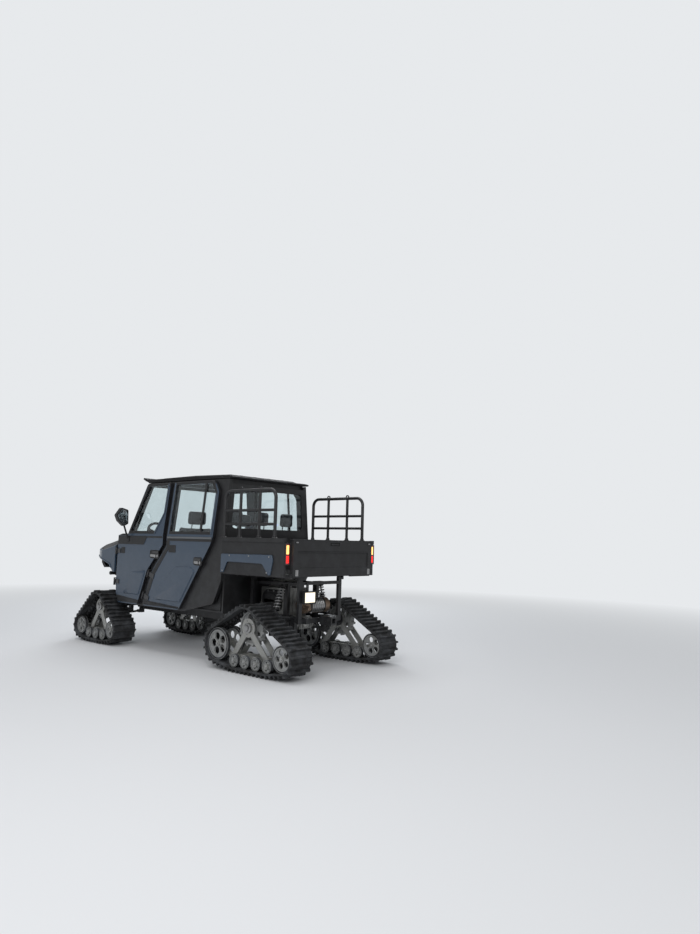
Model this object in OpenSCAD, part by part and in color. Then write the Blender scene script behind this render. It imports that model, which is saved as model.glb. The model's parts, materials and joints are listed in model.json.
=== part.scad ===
// Tracked crew-cab side-by-side utility vehicle
// Millimetres. +X points forward, +Y to the left, +Z up. The origin is on the ground at the middle.
// Shapes are drawn in stations: x = 0 at the rear axle. Outlines in x and z run anticlockwise.

/* [Chassis] */
// Distance between the rear and the front axle
wheelbase = 2870; // [2700:10:3100]
// Height of the front and rear hubs above the ground
hub_z = 455; // [440:5:480]
// Distance of each main rail's middle from the vehicle's middle
rail_y = 230; // [200:5:260]
// Side of the square main rails
rail_side = 60; // [40:5:70]
// Top of the main rails
rail_top_z = 545; // [530:5:560]
// Radius of the suspension tubes
arm_r = 14; // [11:1:16]
// Distance of the steering axis from the vehicle's middle
kingpin_y = 500; // [480:5:520]
// Reach of the steering arm ahead of the steering axis
steering_arm = 90; // [88:1:94]
// Underside of the belly pan
pan_z = 410; // [400:5:430]

/* [Track units] */
// Distance of each belt's middle from the vehicle's middle
track_y = 700; // [690:5:740]
// Width of a belt
belt_w = 310; // [260:10:330]
// Thickness of a belt between its lugs
belt_t = 20; // [14:1:26]
// Height of a lug
lug_h = 30; // [15:1:36]
// Length of a lug at its root
lug_root = 28; // [20:1:34]
// Length of a lug at its tip
lug_tip = 18; // [12:1:19]
// Distance between lugs along a belt
lug_pitch = 62; // [50:1:90]
// Inner radius of a rear belt where it runs over its sprocket
rear_sprocket_r = 195; // [170:5:205]
// Inner radius of a front belt where it runs over its sprocket
front_sprocket_r = 160; // [140:5:175]
// Distance of the rear units' forward idlers from the axle
rear_idler_ahead = 415; // [400:5:450]
// Distance of the rear units' rearward idlers from the axle
rear_idler_behind = 550; // [500:5:580]
// Distance of the front units' idlers from the axle
front_idler_off = 355; // [340:5:360]
// Radius of the rear units' rearward idlers
rear_idler_r = 132; // [115:1:140]
// Radius of the rear units' forward idlers
ahead_idler_r = 165; // [135:1:170]
// How far the rear units' forward idlers hang above the road wheels' line
ahead_idler_lift = 45; // [30:5:60]
// Radius of the front units' end idlers
front_idler_r = 112; // [100:1:118]
// How far the other idlers hang above the road wheels' line
idler_lift = 30; // [10:5:45]
// Radius of a road wheel
roller_r = 66; // [55:1:72]
// Distance between road wheels
roller_pitch = 165; // [155:5:175]
// Number of road wheels in a row of a rear unit
rear_rollers = 4; // [3:1:4]
// Number of road wheels in a row of a front unit
front_rollers = 3; // [2:1:3]
// Width of a wheel
wheel_w = 40; // [30:1:44]
// Distance of a wheel row's middle from the belt's middle
wheel_row = 100; // [96:1:110]
// Thickness of the unit frame's side plates
plate_t = 12; // [8:1:16]
// Distance of a side plate's middle from the belt's middle
plate_off = 64; // [60:1:68]
// Radius of the wheel axles
axle_r = 14; // [10:1:18]
// Number of sprocket teeth
sprocket_teeth = 15; // [11:1:19]

/* [Cab] */
// Distance of the cab side frames' outer faces from the vehicle's middle
cab_side = 685; // [670:5:700]
// Thickness of the cab side frames
frame_t = 45; // [30:1:50]
// Height of the sill
sill_z = 520; // [515:5:535]
// Height of the belt line below the windows
belt_z = 1380; // [1350:5:1400]
// Height of the side frames' top
roof_z = 2040; // [1980:10:2080]
// Lean of the sides above the belt line
tumble = 6; // [3:0.5:8]
// Rear face of the cab
cab_rear_x = 575; // [570:5:590]
// Foot of the windscreen pillar
pillar_foot_x = 2440; // [2420:5:2460]
// Top of the windscreen pillar
pillar_top_x = 2150; // [2120:5:2180]
// Thickness of the floor and the seat boxes' walls
tub_t = 20; // [12:1:25]
// Thickness of the rear wall
wall_t = 25; // [15:1:30]
// Thickness of the roof
roof_t = 34; // [25:1:50]
// Overhang of the visor ahead of the pillars
visor = 130; // [100:10:200]
// Thickness of the glass
glass_t = 6; // [5:1:8]
// Depth of the glass in its groove
glass_grip = 8; // [5:1:10]

/* [Doors] */
// Thickness of a door
door_t = 35; // [25:1:40]
// Gap between a door and the side frame
door_gap = 5.5; // [5.5:0.5:8]
// Width of the bars round a door's window
sash = 42; // [30:1:50]
// How far a door laps over the edge of its hole
door_lap = 26; // [15:1:30]
// Hinge barrel radius
barrel_r = 11; // [10:1:13]
// Hinge barrel length
barrel_h = 60; // [40:5:80]
// Hinge pin radius
pin_r = 5; // [4:0.5:6]

/* [Cargo box] */
// Inside length of the cargo box
box_inner = 950; // [900:10:980]
// Outside width of the cargo box
box_w = 1440; // [1380:10:1460]
// Underside of the cargo box
box_floor_z = 985; // [980:5:1010]
// Height of the box's rail above its underside
box_h = 390; // [360:5:410]
// Thickness of the box's walls
box_t = 28; // [20:1:35]
// Gap between the cab and the box
cab_box_gap = 32; // [30:1:45]
// Thickness of the tailgate
gate_t = 40; // [30:1:50]
// Height of the side racks above the box's rail
rack_h = 525; // [450:5:560]
// Radius of the side racks' tube
rack_r = 18; // [13:1:20]
// Distance of the dump pivot ahead of the box's rear end
dump_in = 160; // [120:5:200]

/* [Nose] */
// Reach of the nose ahead of the front axle
nose_reach = 455; // [430:5:490]
// Fall of the hood towards the front
nose_fall = 12.5; // [11:0.5:14]
// Distance of the hood's rear edge behind the front axle
cowl_back = 20; // [0:5:40]
// Half the width of the hood's level top
hood_half = 500; // [460:5:540]
// Slope of the hood's sides
hood_slope = 31; // [26:1:36]
// Thickness of the hood and the fender skins
skin_t = 18; // [10:1:22]

/* [Hidden] */
$fn = 48;
fit = 0.3;
run_fit = 0.1;

// Outline helpers
function unit(v) = v / norm(v);
function turn(v, a) = [v.x * cos(a) - v.y * sin(a), v.x * sin(a) + v.y * cos(a)];
function right_of(v) = [v.y, -v.x];

function flat(p) = [p.x, p.y];

// An anticlockwise outline of [x, z, radius] corners moved outwards by d on all its edges
function grow(pts, d) = [
    for (i = [0:len(pts) - 1])
        let (n = len(pts), p = flat(pts[i]), before = right_of(unit(p - flat(pts[(i + n - 1) % n]))),
             after = right_of(unit(flat(pts[(i + 1) % n]) - p)),
             q = p + d * (before + after) / (1 + before * after))
        [q.x, q.y, pts[i][2]]
];

// An outline whose corners are arcs; each point is [x, z, radius]
function softened(pts, steps = 4) = [
    for (i = [0:len(pts) - 1])
        let (n = len(pts), p = flat(pts[i]), r = pts[i][2],
             a = unit(flat(pts[(i + n - 1) % n]) - p), b = unit(flat(pts[(i + 1) % n]) - p),
             half = acos(min(1, max(-1, a * b))) / 2,
             centre = p + unit(a + b) * r / sin(half),
             from = p + a * r / tan(half) - centre, to = p + b * r / tan(half) - centre,
             sweep = atan2(from.x * to.y - from.y * to.x, from * to))
        each r == 0 ? [p] : [for (k = [0:steps]) centre + turn(from, sweep * k / steps)]
];

// Belt loop: wheels are [x, z, radius], anticlockwise
function tangent_angle(a, b) =
    let (d = [b.x - a.x, b.y - a.y]) atan2(d.y, d.x) - acos((a[2] - b[2]) / norm(d));
function wrap(a) = a < 0 ? a + 360 : a >= 360 ? a - 360 : a;
function loop_runs(w) = [
    for (i = [0:len(w) - 1])
        let (n = len(w), j = (i + 1) % n, k = (i + 2) % n,
             leave = tangent_angle(w[i], w[j]), next = tangent_angle(w[j], w[k]),
             out = [cos(leave), sin(leave)],
             start = [w[i].x, w[i].y] + w[i][2] * out, end = [w[j].x, w[j].y] + w[j][2] * out,
             swing = wrap(next - leave))
        each [["line", start, end, out, norm(end - start)],
              ["arc", [w[j].x, w[j].y], w[j][2], leave, w[j][2] * swing * PI / 180]]
];
function loop_length(runs, i = 0) = i == len(runs) ? 0 : runs[i][4] + loop_length(runs, i + 1);
// Point at distance s along the loop, lifted outwards by h
function loop_point(runs, s, h, i = 0) =
    s > runs[i][4] && i < len(runs) - 1 ? loop_point(runs, s - runs[i][4], h, i + 1) :
    runs[i][0] == "line" ? runs[i][1] + (runs[i][2] - runs[i][1]) * s / runs[i][4] + runs[i][3] * h :
    let (a = runs[i][3] + s / runs[i][2] * 180 / PI)
    runs[i][1] + (runs[i][2] + h) * [cos(a), sin(a)];
// The belt's inner outline: the ends of its straight runs, and its arcs in steps of about 5 degrees
function inner_outline(runs) = [
    for (r = runs)
        each r[0] == "line" ? [r[1]] :
        let (swing = r[4] / r[2] * 180 / PI, n = ceil(swing / 5))
        [for (k = [0:n - 1]) r[1] + r[2] * [cos(r[3] + swing * k / n), sin(r[3] + swing * k / n)]]
];
function lug_outline(runs) =
    let (total = loop_length(runs), n = round(total / lug_pitch), pitch = total / n)
    [for (k = [0:n - 1])
        each [loop_point(runs, k * pitch + pitch / 2 - lug_root / 2, belt_t),
              loop_point(runs, k * pitch + pitch / 2 - lug_tip / 2, belt_t + lug_h),
              loop_point(runs, k * pitch + pitch / 2 + lug_tip / 2, belt_t + lug_h),
              loop_point(runs, k * pitch + pitch / 2 + lug_root / 2, belt_t)]];

// Track unit sizes, from the ground up: x is measured from the unit's own axle
roller_z = lug_h + belt_t + roller_r;
function idler_z(r, lift) = lug_h + belt_t + lift + r;
function row(n, mid) = [for (i = [0:n - 1]) mid + (i - (n - 1) / 2) * roller_pitch];
rear_roller_x = row(rear_rollers, (rear_idler_ahead - rear_idler_behind) / 2 - 25);
front_roller_x = row(front_rollers, 0);
function unit_wheels(x_rear, x_front, idler, ahead, ahead_lift, rollers, sprocket) = [
    [x_rear, idler_z(idler, idler_lift), idler],
    [rollers[0], roller_z, roller_r],
    [rollers[len(rollers) - 1], roller_z, roller_r],
    [x_front, idler_z(ahead, ahead_lift), ahead],
    [0, hub_z, sprocket]
];
rear_unit = unit_wheels(-rear_idler_behind, rear_idler_ahead, rear_idler_r, ahead_idler_r, ahead_idler_lift,
                        rear_roller_x, rear_sprocket_r);
front_unit = unit_wheels(-front_idler_off, front_idler_off, front_idler_r, front_idler_r, idler_lift,
                         front_roller_x, front_sprocket_r);
rear_runs = loop_runs(rear_unit);
front_runs = loop_runs(front_unit);
front_end = wheelbase + max([for (p = lug_outline(front_runs)) p.x]);
rear_end = min([for (p = lug_outline(rear_runs)) p.x]);
mid_x = (front_end + rear_end) / 2;

// Cab derived sizes
inner_side = cab_side - frame_t;
door_in = cab_side + door_gap;
door_out = door_in + door_t;
// How far out the leaning sides are at height z; off is the distance outside the side frame's outer face
function lean_y(off, z) =
    cab_side + off * cos(tumble) - (z - belt_z - off * sin(tumble)) * tan(tumble);
tub_side = inner_side - fit;
hinge_y = door_out + 12;
front_hinge_x = 2627;
rear_hinge_foot = [1995, 600];
rear_hinge_lean = 18;

// Door outlines below and above the belt line, as [x, z, corner radius]
function front_lower(top) = [
    [2540, sill_z + 12, 30], [2600, 660, 60], [2612, 800, 60], [2612, top, 0], [1640, top, 0], [1640, 1270, 20],
    [1935, 960, 60], [2110, sill_z + 12, 30]];
function front_upper(low) = [
    [pillar_foot_x - 30, low, 0], [pillar_top_x - 36, roof_z - 12, 40], [1631, roof_z - 12, 12],
    [1643, low, 0]];
front_window = [
    [pillar_foot_x - 95, belt_z + 52, 10], [pillar_top_x - 78, roof_z - 50, 40], [1668, roof_z - 50, 12],
    [1678, belt_z + 280, 60], [1830, belt_z + 52, 12]];
function rear_lower(top) = [
    [2000, sill_z + 12, 30], [1822, 960, 60], [1560, 1262, 20], [1560, top, 0], [700, top, 0],
    [740, 1290, 30], [1270, sill_z + 12, 60]];
function rear_upper(low) = [
    [1557, low, 0], [1546, roof_z - 12, 12], [790, roof_z - 12, 90], [692, roof_z - 150, 60],
    [703, low, 0]];
rear_window = [
    [1515, belt_z + 52, 10], [1505, roof_z - 50, 12], [825, roof_z - 50, 70], [742, roof_z - 170, 40],
    [748, belt_z + 52, 10]];

// Rear window in y and z
rear_window_corners = [
    [-575, belt_z + 95, 50], [575, belt_z + 95, 50], [545, roof_z - 105, 50], [-545, roof_z - 105, 50]];

box_front_x = cab_rear_x - cab_box_gap;
box_rear_x = box_front_x - box_t - box_inner;
box_half = box_w / 2;
rail_z = box_floor_z + box_h;
dump_x = box_rear_x + dump_in;
dump_z = box_floor_z - 22;
gate_hinge_z = box_floor_z + 20;
gate_pin_x = box_rear_x - 6 - gate_t / 2;
gate_half = box_half - 84;
steering_hub = [2180, 400, 1400];
steering_rake = 58;
column_run = [sin(steering_rake), 0, -cos(steering_rake)];
rack_x = wheelbase + steering_arm;

// Placement helpers
module station() translate([-mid_x, 0, 0]) children();
module both() { children(); mirror([0, 1, 0]) children(); }
module on_side(s) { if (s > 0) children(); else mirror([0, 1, 0]) children(); }
// An outline in x and z, standing from y to y + t
module standing(pts, y, t) translate([0, y + t, 0]) rotate([90, 0, 0]) linear_extrude(t) polygon(pts);
// The same, from -half to half
module across(pts, half) standing(pts, -half, 2 * half);
module leaning() translate([0, cab_side, belt_z]) rotate([tumble, 0, 0])
    translate([0, -cab_side, -belt_z]) children();
module rod(p, q, r) {
    d = q - p;
    translate(p) rotate([0, acos(d.z / norm(d)), atan2(d.y, d.x)]) cylinder(r = r, h = norm(d));
}
module block(low, high) translate(low) cube(high - low);
module lying(x, z, y, r, h) translate([x, y, z]) rotate([-90, 0, 0]) cylinder(r = r, h = h);
module bar(p, q, w) {
    d = q - p;
    translate(p) rotate([0, 0, atan2(d.y, d.x)]) translate([0, -w / 2]) square([norm(d), w]);
}
module rear_hinge_frame() translate([rear_hinge_foot.x, hinge_y, rear_hinge_foot.y])
    rotate([0, -rear_hinge_lean, 0]) children();
module front_hinge_frame() translate([front_hinge_x, hinge_y, 700]) children();

// Track unit parts, drawn about the unit's axle at x = 0 with the belt's middle at y = 0
module belt(runs) color([0.05, 0.05, 0.055])
    translate([0, belt_w / 2, 0]) rotate([90, 0, 0]) linear_extrude(belt_w) difference() {
        polygon(lug_outline(runs));
        polygon(inner_outline(runs));
    }

module spoked_wheel(r, w, holes) {
    hub_r = axle_r + 12;
    rim_in = r * 0.78;
    difference() {
        cylinder(r = r - 0.4, h = w, center = true);
        cylinder(r = axle_r + fit, h = w + 2, center = true);
        for (s = [-1, 1]) translate([0, 0, s * w / 2]) difference() {
            cylinder(r = rim_in, h = w / 2, center = true);
            cylinder(r = hub_r, h = w, center = true);
        }
        for (i = [0:holes - 1]) rotate([0, 0, i * 360 / holes])
            translate([(rim_in + hub_r) / 2, 0, 0]) cylinder(r = (rim_in - hub_r) * 0.4, h = w, center = true);
    }
}

module sprocket(r) {
    root_r = r * 0.88;
    difference() {
        linear_extrude(56, center = true) union() {
            circle(r = root_r);
            for (i = [0:sprocket_teeth - 1]) rotate(i * 360 / sprocket_teeth)
                polygon([[root_r - 6, -17], [r - 0.5, -9], [r - 0.5, 9], [root_r - 6, 17]]);
        }
        cylinder(r = 20 + fit, h = 60, center = true);
        for (i = [0:4]) rotate([0, 0, i * 72]) translate([root_r * 0.62, 0, 0])
            cylinder(r = root_r * 0.2, h = 60, center = true);
        for (s = [-1, 1]) translate([0, 0, s * 28]) difference() {
            cylinder(r = root_r * 0.9, h = 24, center = true);
            cylinder(r = 74, h = 30, center = true);
        }
    }
}

module unit_wheels_set(wheels, rollers) color([0.62, 0.62, 0.58]) {
    translate([0, 0, hub_z]) rotate([90, 0, 0]) sprocket(wheels[4][2]);
    for (s = [-1, 1]) {
        for (k = [0, 3]) translate([wheels[k].x, s * wheel_row, wheels[k].y]) rotate([90, 0, 0])
            spoked_wheel(wheels[k][2], wheel_w, 5);
        for (x = rollers) translate([x, s * wheel_row, roller_z]) rotate([90, 0, 0])
            spoked_wheel(roller_r, wheel_w, 5);
    }
}

// Cast side plates joined by the wheel axles; the inner plate rides on the hub flange
module unit_frame(wheels, rollers) color([0.66, 0.66, 0.62]) {
    low_z = roller_z + 26;
    hub = [0, hub_z];
    rear = [wheels[0].x, wheels[0].y];
    front = [wheels[3].x, wheels[3].y];
    difference() {
        for (s = [-1, 1])
            translate([0, s * plate_off + plate_t / 2, 0]) rotate([90, 0, 0]) linear_extrude(plate_t) {
                translate(hub) circle(r = 96);
                bar(hub, [rear.x * 0.55, low_z], 64);
                bar(hub, [front.x * 0.55, low_z], 64);
                bar([rear.x * 0.62, low_z], [front.x * 0.62, low_z], 74);
                bar(rear, [rear.x * 0.55, low_z], 50);
                bar(front, [front.x * 0.55, low_z], 50);
                translate(rear) circle(r = 38);
                translate(front) circle(r = 38);
                for (x = rollers) translate([x, roller_z]) circle(r = 30);
            }
        lying(0, hub_z, -plate_off - plate_t, 78 + fit, 2 * plate_t);
        lying(0, hub_z, plate_off - plate_t, 20 + fit, 2 * plate_t);
    }
    reach = wheel_row + wheel_w / 2 + 6;
    for (p = concat([rear, front], [for (x = rollers) [x, roller_z]])) {
        lying(p.x, p.y, -reach, axle_r, 2 * reach);
        for (s = [-1, 1]) lying(p.x, p.y, s > 0 ? reach - 5 : -reach, axle_r + 10, 5);
    }
    for (x = [rear.x * 0.34, front.x * 0.34]) lying(x, low_z + 10, -plate_off, 22, 2 * plate_off);
}

// Stub that carries a sprocket: flange inside the inner plate's ring, shaft on to the outer plate
module hub_stub(y_from) {
    lying(0, hub_z, y_from, 45, -plate_off - plate_t - 8 - y_from);
    lying(0, hub_z, -plate_off - plate_t - 8, 78, plate_off + plate_t + 8 - 28);
    lying(0, hub_z, -28, 20, 28 + plate_off + plate_t / 2 + 6);
}

module rear_unit_at(s) station() on_side(s) translate([0, track_y, 0]) children();
module front_unit_at(s) station() on_side(s) translate([wheelbase, track_y, 0]) children();

module rear_belt_left() rear_unit_at(1) belt(rear_runs);
module rear_belt_right() rear_unit_at(-1) belt(rear_runs);
module rear_track_frames() for (s = [1, -1]) rear_unit_at(s) unit_frame(rear_unit, rear_roller_x);
module rear_track_wheels() for (s = [1, -1]) rear_unit_at(s) unit_wheels_set(rear_unit, rear_roller_x);
module front_belt_left() front_unit_at(1) belt(front_runs);
module front_belt_right() front_unit_at(-1) belt(front_runs);
module front_unit_frame_left() front_unit_at(1) unit_frame(front_unit, front_roller_x);
module front_unit_frame_right() front_unit_at(-1) unit_frame(front_unit, front_roller_x);
module front_wheels_left() front_unit_at(1) unit_wheels_set(front_unit, front_roller_x);
module front_wheels_right() front_unit_at(-1) unit_wheels_set(front_unit, front_roller_x);

// Suspension: arms end in lugs above and below the knuckle
knuckle_top = hub_z + 85;
knuckle_low = hub_z - 80;
lug_t = 40;
pivot_r = arm_r + 6;
pivot_y = rail_y + rail_side / 2 + pivot_r + fit;
pivot_x = 130;
upper_pivot_z = rail_top_z - 5;
lower_pivot_z = knuckle_low + 5;
arm_fork = 14;
ball_r = 12;
shock_foot_y = 405;
shock_head = [rail_y + 62, 890];
module knuckle(s) station() on_side(s) translate([wheelbase, 0, 0]) color([0.45, 0.45, 0.45]) {
    difference() {
        union() {
            translate([0, kingpin_y, knuckle_low]) cylinder(r = 32, h = knuckle_top - knuckle_low);
            translate([0, track_y, 0]) hub_stub(kingpin_y - track_y);
            block([0, kingpin_y - 14, hub_z + 14], [steering_arm + 16, kingpin_y + 14, hub_z + 36]);
        }
        for (z = [knuckle_low - 1, knuckle_top - 29])
            translate([0, kingpin_y, z]) cylinder(r = ball_r + run_fit, h = 30);
    }
}
module knuckle_left() knuckle(1);
module knuckle_right() knuckle(-1);

module wishbone(z_in, z_end, y_end) for (s = [-1, 1]) {
    rod([s * pivot_x, pivot_y, z_in], [s * arm_fork, y_end, z_end], arm_r);
    translate([s * pivot_x, pivot_y, z_in]) rotate([0, 90, 0]) cylinder(r = pivot_r, h = 50, center = true);
}
// Both arms of one corner, the shock's foot on the upper one and the half shaft between them
module suspension_corner(top_z, low_z, y_end, shaft_end) {
    wishbone(upper_pivot_z, top_z, y_end);
    wishbone(lower_pivot_z, low_z, y_end);
    reach = (shock_foot_y - pivot_y) / (y_end - pivot_y);
    foot_z = upper_pivot_z + (top_z - upper_pivot_z) * reach;
    foot_x = pivot_x + (arm_fork - pivot_x) * reach;
    block([-foot_x, shock_foot_y - 22, foot_z - 10], [foot_x, shock_foot_y + 22, foot_z + 16]);
    rod([0, 140, hub_z], [0, shaft_end, hub_z], 14);
    lying(0, hub_z, shaft_end - 70, 38, 60);
    lying(0, hub_z, 140, 38, 60);
}
function shock_foot_z(top_z, y_end) =
    upper_pivot_z + (top_z - upper_pivot_z) * (shock_foot_y - pivot_y) / (y_end - pivot_y) + 16 + 7.2;
module front_suspension() station() translate([wheelbase, 0, 0]) color([0.12, 0.12, 0.13]) both() {
    suspension_corner(knuckle_top + fit + lug_t / 2, knuckle_low - fit - lug_t / 2, kingpin_y, kingpin_y - 38);
    translate([0, kingpin_y, knuckle_top + fit]) cylinder(r = 26, h = lug_t);
    translate([0, kingpin_y, knuckle_top - 26]) cylinder(r = ball_r, h = 30);
    translate([0, kingpin_y, knuckle_low - fit - lug_t]) cylinder(r = 26, h = lug_t);
    translate([0, kingpin_y, knuckle_low - 4]) cylinder(r = ball_r, h = 30);
}
upright_y = kingpin_y - 60;
module rear_suspension() station() color([0.12, 0.12, 0.13]) both() {
    suspension_corner(knuckle_top + 10, knuckle_low - 10, upright_y, upright_y);
    translate([0, upright_y, knuckle_low - 24]) cylinder(r = 32, h = knuckle_top - knuckle_low + 48);
    translate([0, track_y, 0]) hub_stub(upright_y - track_y);
}

rail_low = rail_top_z - rail_side;
frame_front_x = wheelbase + 230;
frame_rear_x = dump_x - 55;
socket = 52;
post = 17;
module frame() station() color([0.08, 0.08, 0.085]) {
    rail_out = rail_y + rail_side / 2;
    difference() {
        union() {
            both() {
                block([frame_rear_x, rail_y - rail_side / 2, rail_low], [frame_front_x, rail_out, rail_top_z]);
                // Brackets for the lower arms, under the rails
                for (x = [0, wheelbase], s = [-1, 1])
                    block([x + s * pivot_x - 25, rail_y - 20, lower_pivot_z - pivot_r],
                          [x + s * pivot_x + 25, rail_out, rail_low + 1]);
                // Posts that carry the dump pivot, and rests for the box ahead of them
                block([dump_x - post, rail_y + 60, rail_low], [dump_x + post, rail_y + 110, dump_z]);
                lying(dump_x, dump_z, rail_y + 60, post, 50);
                block([dump_x - post, rail_y, rail_low], [dump_x + post, rail_y + 110, rail_low + 50]);
                block([430, rail_y + 60, rail_low], [470, rail_y + 110, box_floor_z - fit]);
                block([430, rail_y, rail_low], [470, rail_y + 110, rail_low + 50]);
                // Shock towers over both axles
                for (x = [0, wheelbase]) {
                    block([x - 30, rail_y - 20, rail_low], [x + 30, rail_y + 20, shock_head.y + 16]);
                    block([x - 30, rail_y - 20, shock_head.y + fit], [x + 30, shock_head.x + 30, shock_head.y + 16]);
                }
                block([0, rail_y - 20, 870], [470, rail_y + 20, 900]);
                block([430, rail_y - 20, 870], [470, rail_y + 80, 900]);
            }
            for (x = [frame_rear_x, 480, 1320, 2150, frame_front_x - 50])
                block([x, -rail_y, rail_low + 5], [x + 50, rail_y, rail_top_z - 5]);
            for (x = [wheelbase - 25, -25]) block([x, -rail_y, 866], [x + 50, rail_y, 900]);
            block([dump_x - post, -rail_y - 70, 890], [dump_x + post, rail_y + 70, 924]);
            // Receiver and steering rack housing
            block([frame_rear_x - 160, -45, rail_low - 15], [frame_rear_x + 10, 45, rail_low + 75]);
            lying(wheelbase + steering_arm, hub_z, -150, 18, 300);
            both() block([wheelbase + steering_arm - 12, 100, hub_z], [wheelbase + steering_arm + 12, 130, rail_low + 20]);
            block([wheelbase + steering_arm - 12, -rail_y, rail_low + 10], [wheelbase + steering_arm + 28, rail_y, rail_low + 44]);
        }
        block([frame_rear_x - 161, -socket / 2, rail_low + 30 - socket / 2],
              [frame_rear_x - 20, socket / 2, rail_low + 30 + socket / 2]);
        lying(frame_rear_x - 80, rail_low + 30, -50, 8, 100);
        both() lying(dump_x, dump_z, rail_y + 50, 12 + run_fit, 70);
        lying(wheelbase + steering_arm, hub_z, -160, 9 + run_fit, 320);
    }
}

// Folded belly pan between the axles
module skid_plate() station() color([0.07, 0.07, 0.07]) difference() {
    half = rail_y + rail_side / 2;
    block([180, -half, pan_z], [wheelbase - 190, half, rail_low - fit]);
    block([179, -half + 8, pan_z + 8], [wheelbase - 189, half - 8, rail_low]);
}

module engine_block() station() color([0.2, 0.2, 0.2]) {
    block([90, -170, rail_low - 50], [470, 170, 830]);
    for (x = [0, wheelbase]) lying(x, hub_z, fit - 140, 65, 280 - 2 * fit);
    block([-70, -90, hub_z - 60], [91, 90, hub_z + 70]);
    block([wheelbase - 140, -60, hub_z - 40], [wheelbase, 60, hub_z + 40]);
    rod([469, 0, hub_z], [wheelbase - 139, 0, hub_z], 20);
}

module exhaust_muffler() station() color([0.35, 0.33, 0.3]) {
    lying(-180, 660, -190, 80, 380);
    rod([-130, -120, 660], [90 - fit, -120, 660], 22);
    rod([-180, 185, 660], [-300, 185, 640], 20);
}

module coil_over(p, q) {
    d = q - p;
    translate(p) rotate([0, acos(d.z / norm(d)), atan2(d.y, d.x)]) {
        cylinder(r = 9, h = norm(d));
        translate([0, 0, norm(d) * 0.1]) cylinder(r = 29, h = norm(d) * 0.82);
        translate([0, 0, norm(d) * 0.16]) cylinder(r = 40, h = 10);
        translate([0, 0, norm(d) * 0.9]) cylinder(r = 40, h = 10);
        for (i = [0:5]) translate([0, 0, norm(d) * (0.2 + 0.12 * i)])
            rotate_extrude() translate([33, 0]) circle(r = 7, $fn = 16);
    }
}
module shock_absorbers() station() color([0.5, 0.5, 0.5]) both() {
    coil_over([0, shock_foot_y, shock_foot_z(knuckle_top + 10, upright_y)], [0, shock_head.x, shock_head.y - 3.3]);
    coil_over([wheelbase, shock_foot_y, shock_foot_z(knuckle_top + fit + lug_t / 2, kingpin_y)],
              [wheelbase, shock_head.x, shock_head.y - 3.3]);
}

module steering_rack() station() color([0.3, 0.3, 0.3]) {
    rod([rack_x, -kingpin_y, hub_z], [rack_x, kingpin_y, hub_z], 9);
    both() translate([rack_x, kingpin_y, hub_z - 9]) cylinder(r = 15, h = 18);
}

// Cab
module body_tub() station() color([0.06, 0.06, 0.065]) {
    z = rail_top_z;
    difference() {
        union() {
            block([cab_rear_x + wall_t + fit, -tub_side, z], [2480, tub_side, z + tub_t]);
            across([[2470, z], [2490, z], [2610, 690], [2600, 710], [2470, z + tub_t]], tub_side);
            for (x = [[640, 1080], [1580, 2020]])
                block([x[0], -tub_side + 20, z + tub_t - 1], [x[1], tub_side - 20, 860]);
            across([[2596, 700], [2614, 690], [2508, 1110 - fit], [2488, 1110 - fit]], tub_side);
        }
        for (x = [[640, 1080], [1580, 2020]])
            block([x[0] + tub_t, -tub_side + 20 + tub_t, z + tub_t], [x[1] - tub_t, tub_side - 20 - tub_t, 860 - tub_t]);
    }
}

// Door holes: the door laps over their edges all round, and they run through the belt line
module door_hole(pts) standing(softened(grow(pts, -door_lap)), inner_side - 1, frame_t + 2);
module cab_side_frame() difference() {
    union() {
        standing(softened([
            [2500, sill_z, 30], [2560, 560, 30], [2650, 760, 60], [2650, belt_z, 0], [cab_rear_x, belt_z, 0],
            [cab_rear_x, 900, 60], [700, 640, 60], [1250, sill_z, 60]]), inner_side, frame_t);
        leaning() standing([[pillar_foot_x, belt_z - 6], [pillar_top_x, roof_z], [cab_rear_x + 3, roof_z],
                            [cab_rear_x + 3, belt_z - 6]], inner_side, frame_t);
    }
    door_hole(front_lower(belt_z + 40));
    door_hole(rear_lower(belt_z + 40));
    leaning() door_hole(front_upper(belt_z - 60));
    leaning() door_hole(rear_upper(belt_z - 60));
}
module hinge_lugs(along, arm_in) {
    for (z = along) {
        for (s = [-1, 1]) translate([0, 0, z + s * (barrel_h / 2 + 9)]) {
            cylinder(r = barrel_r, h = 16, center = true);
            translate([-5, -arm_in, -7]) cube([10, arm_in, 14]);
        }
        translate([0, 0, z]) cylinder(r = pin_r, h = barrel_h + 30, center = true);
    }
}
front_hinges = [90, 480];
rear_hinges = [60, 340];
module cab_frame() station() color([0.05, 0.05, 0.055]) difference() {
    union() {
        both() {
            cab_side_frame();
            front_hinge_frame() hinge_lugs(front_hinges, hinge_y - cab_side + 1);
            rear_hinge_frame() hinge_lugs(rear_hinges, hinge_y - cab_side + 1);
        }
        // Cross tubes under the roof and at the windscreen's foot
        for (x = [pillar_top_x - 55, 1600, cab_rear_x + 60])
            across([[x - 20, roof_z - 50], [x + 20, roof_z - 50], [x + 20, roof_z], [x - 20, roof_z]],
                   lean_y(-frame_t / 2, roof_z));
    }
    windscreen(fit);
}

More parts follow.
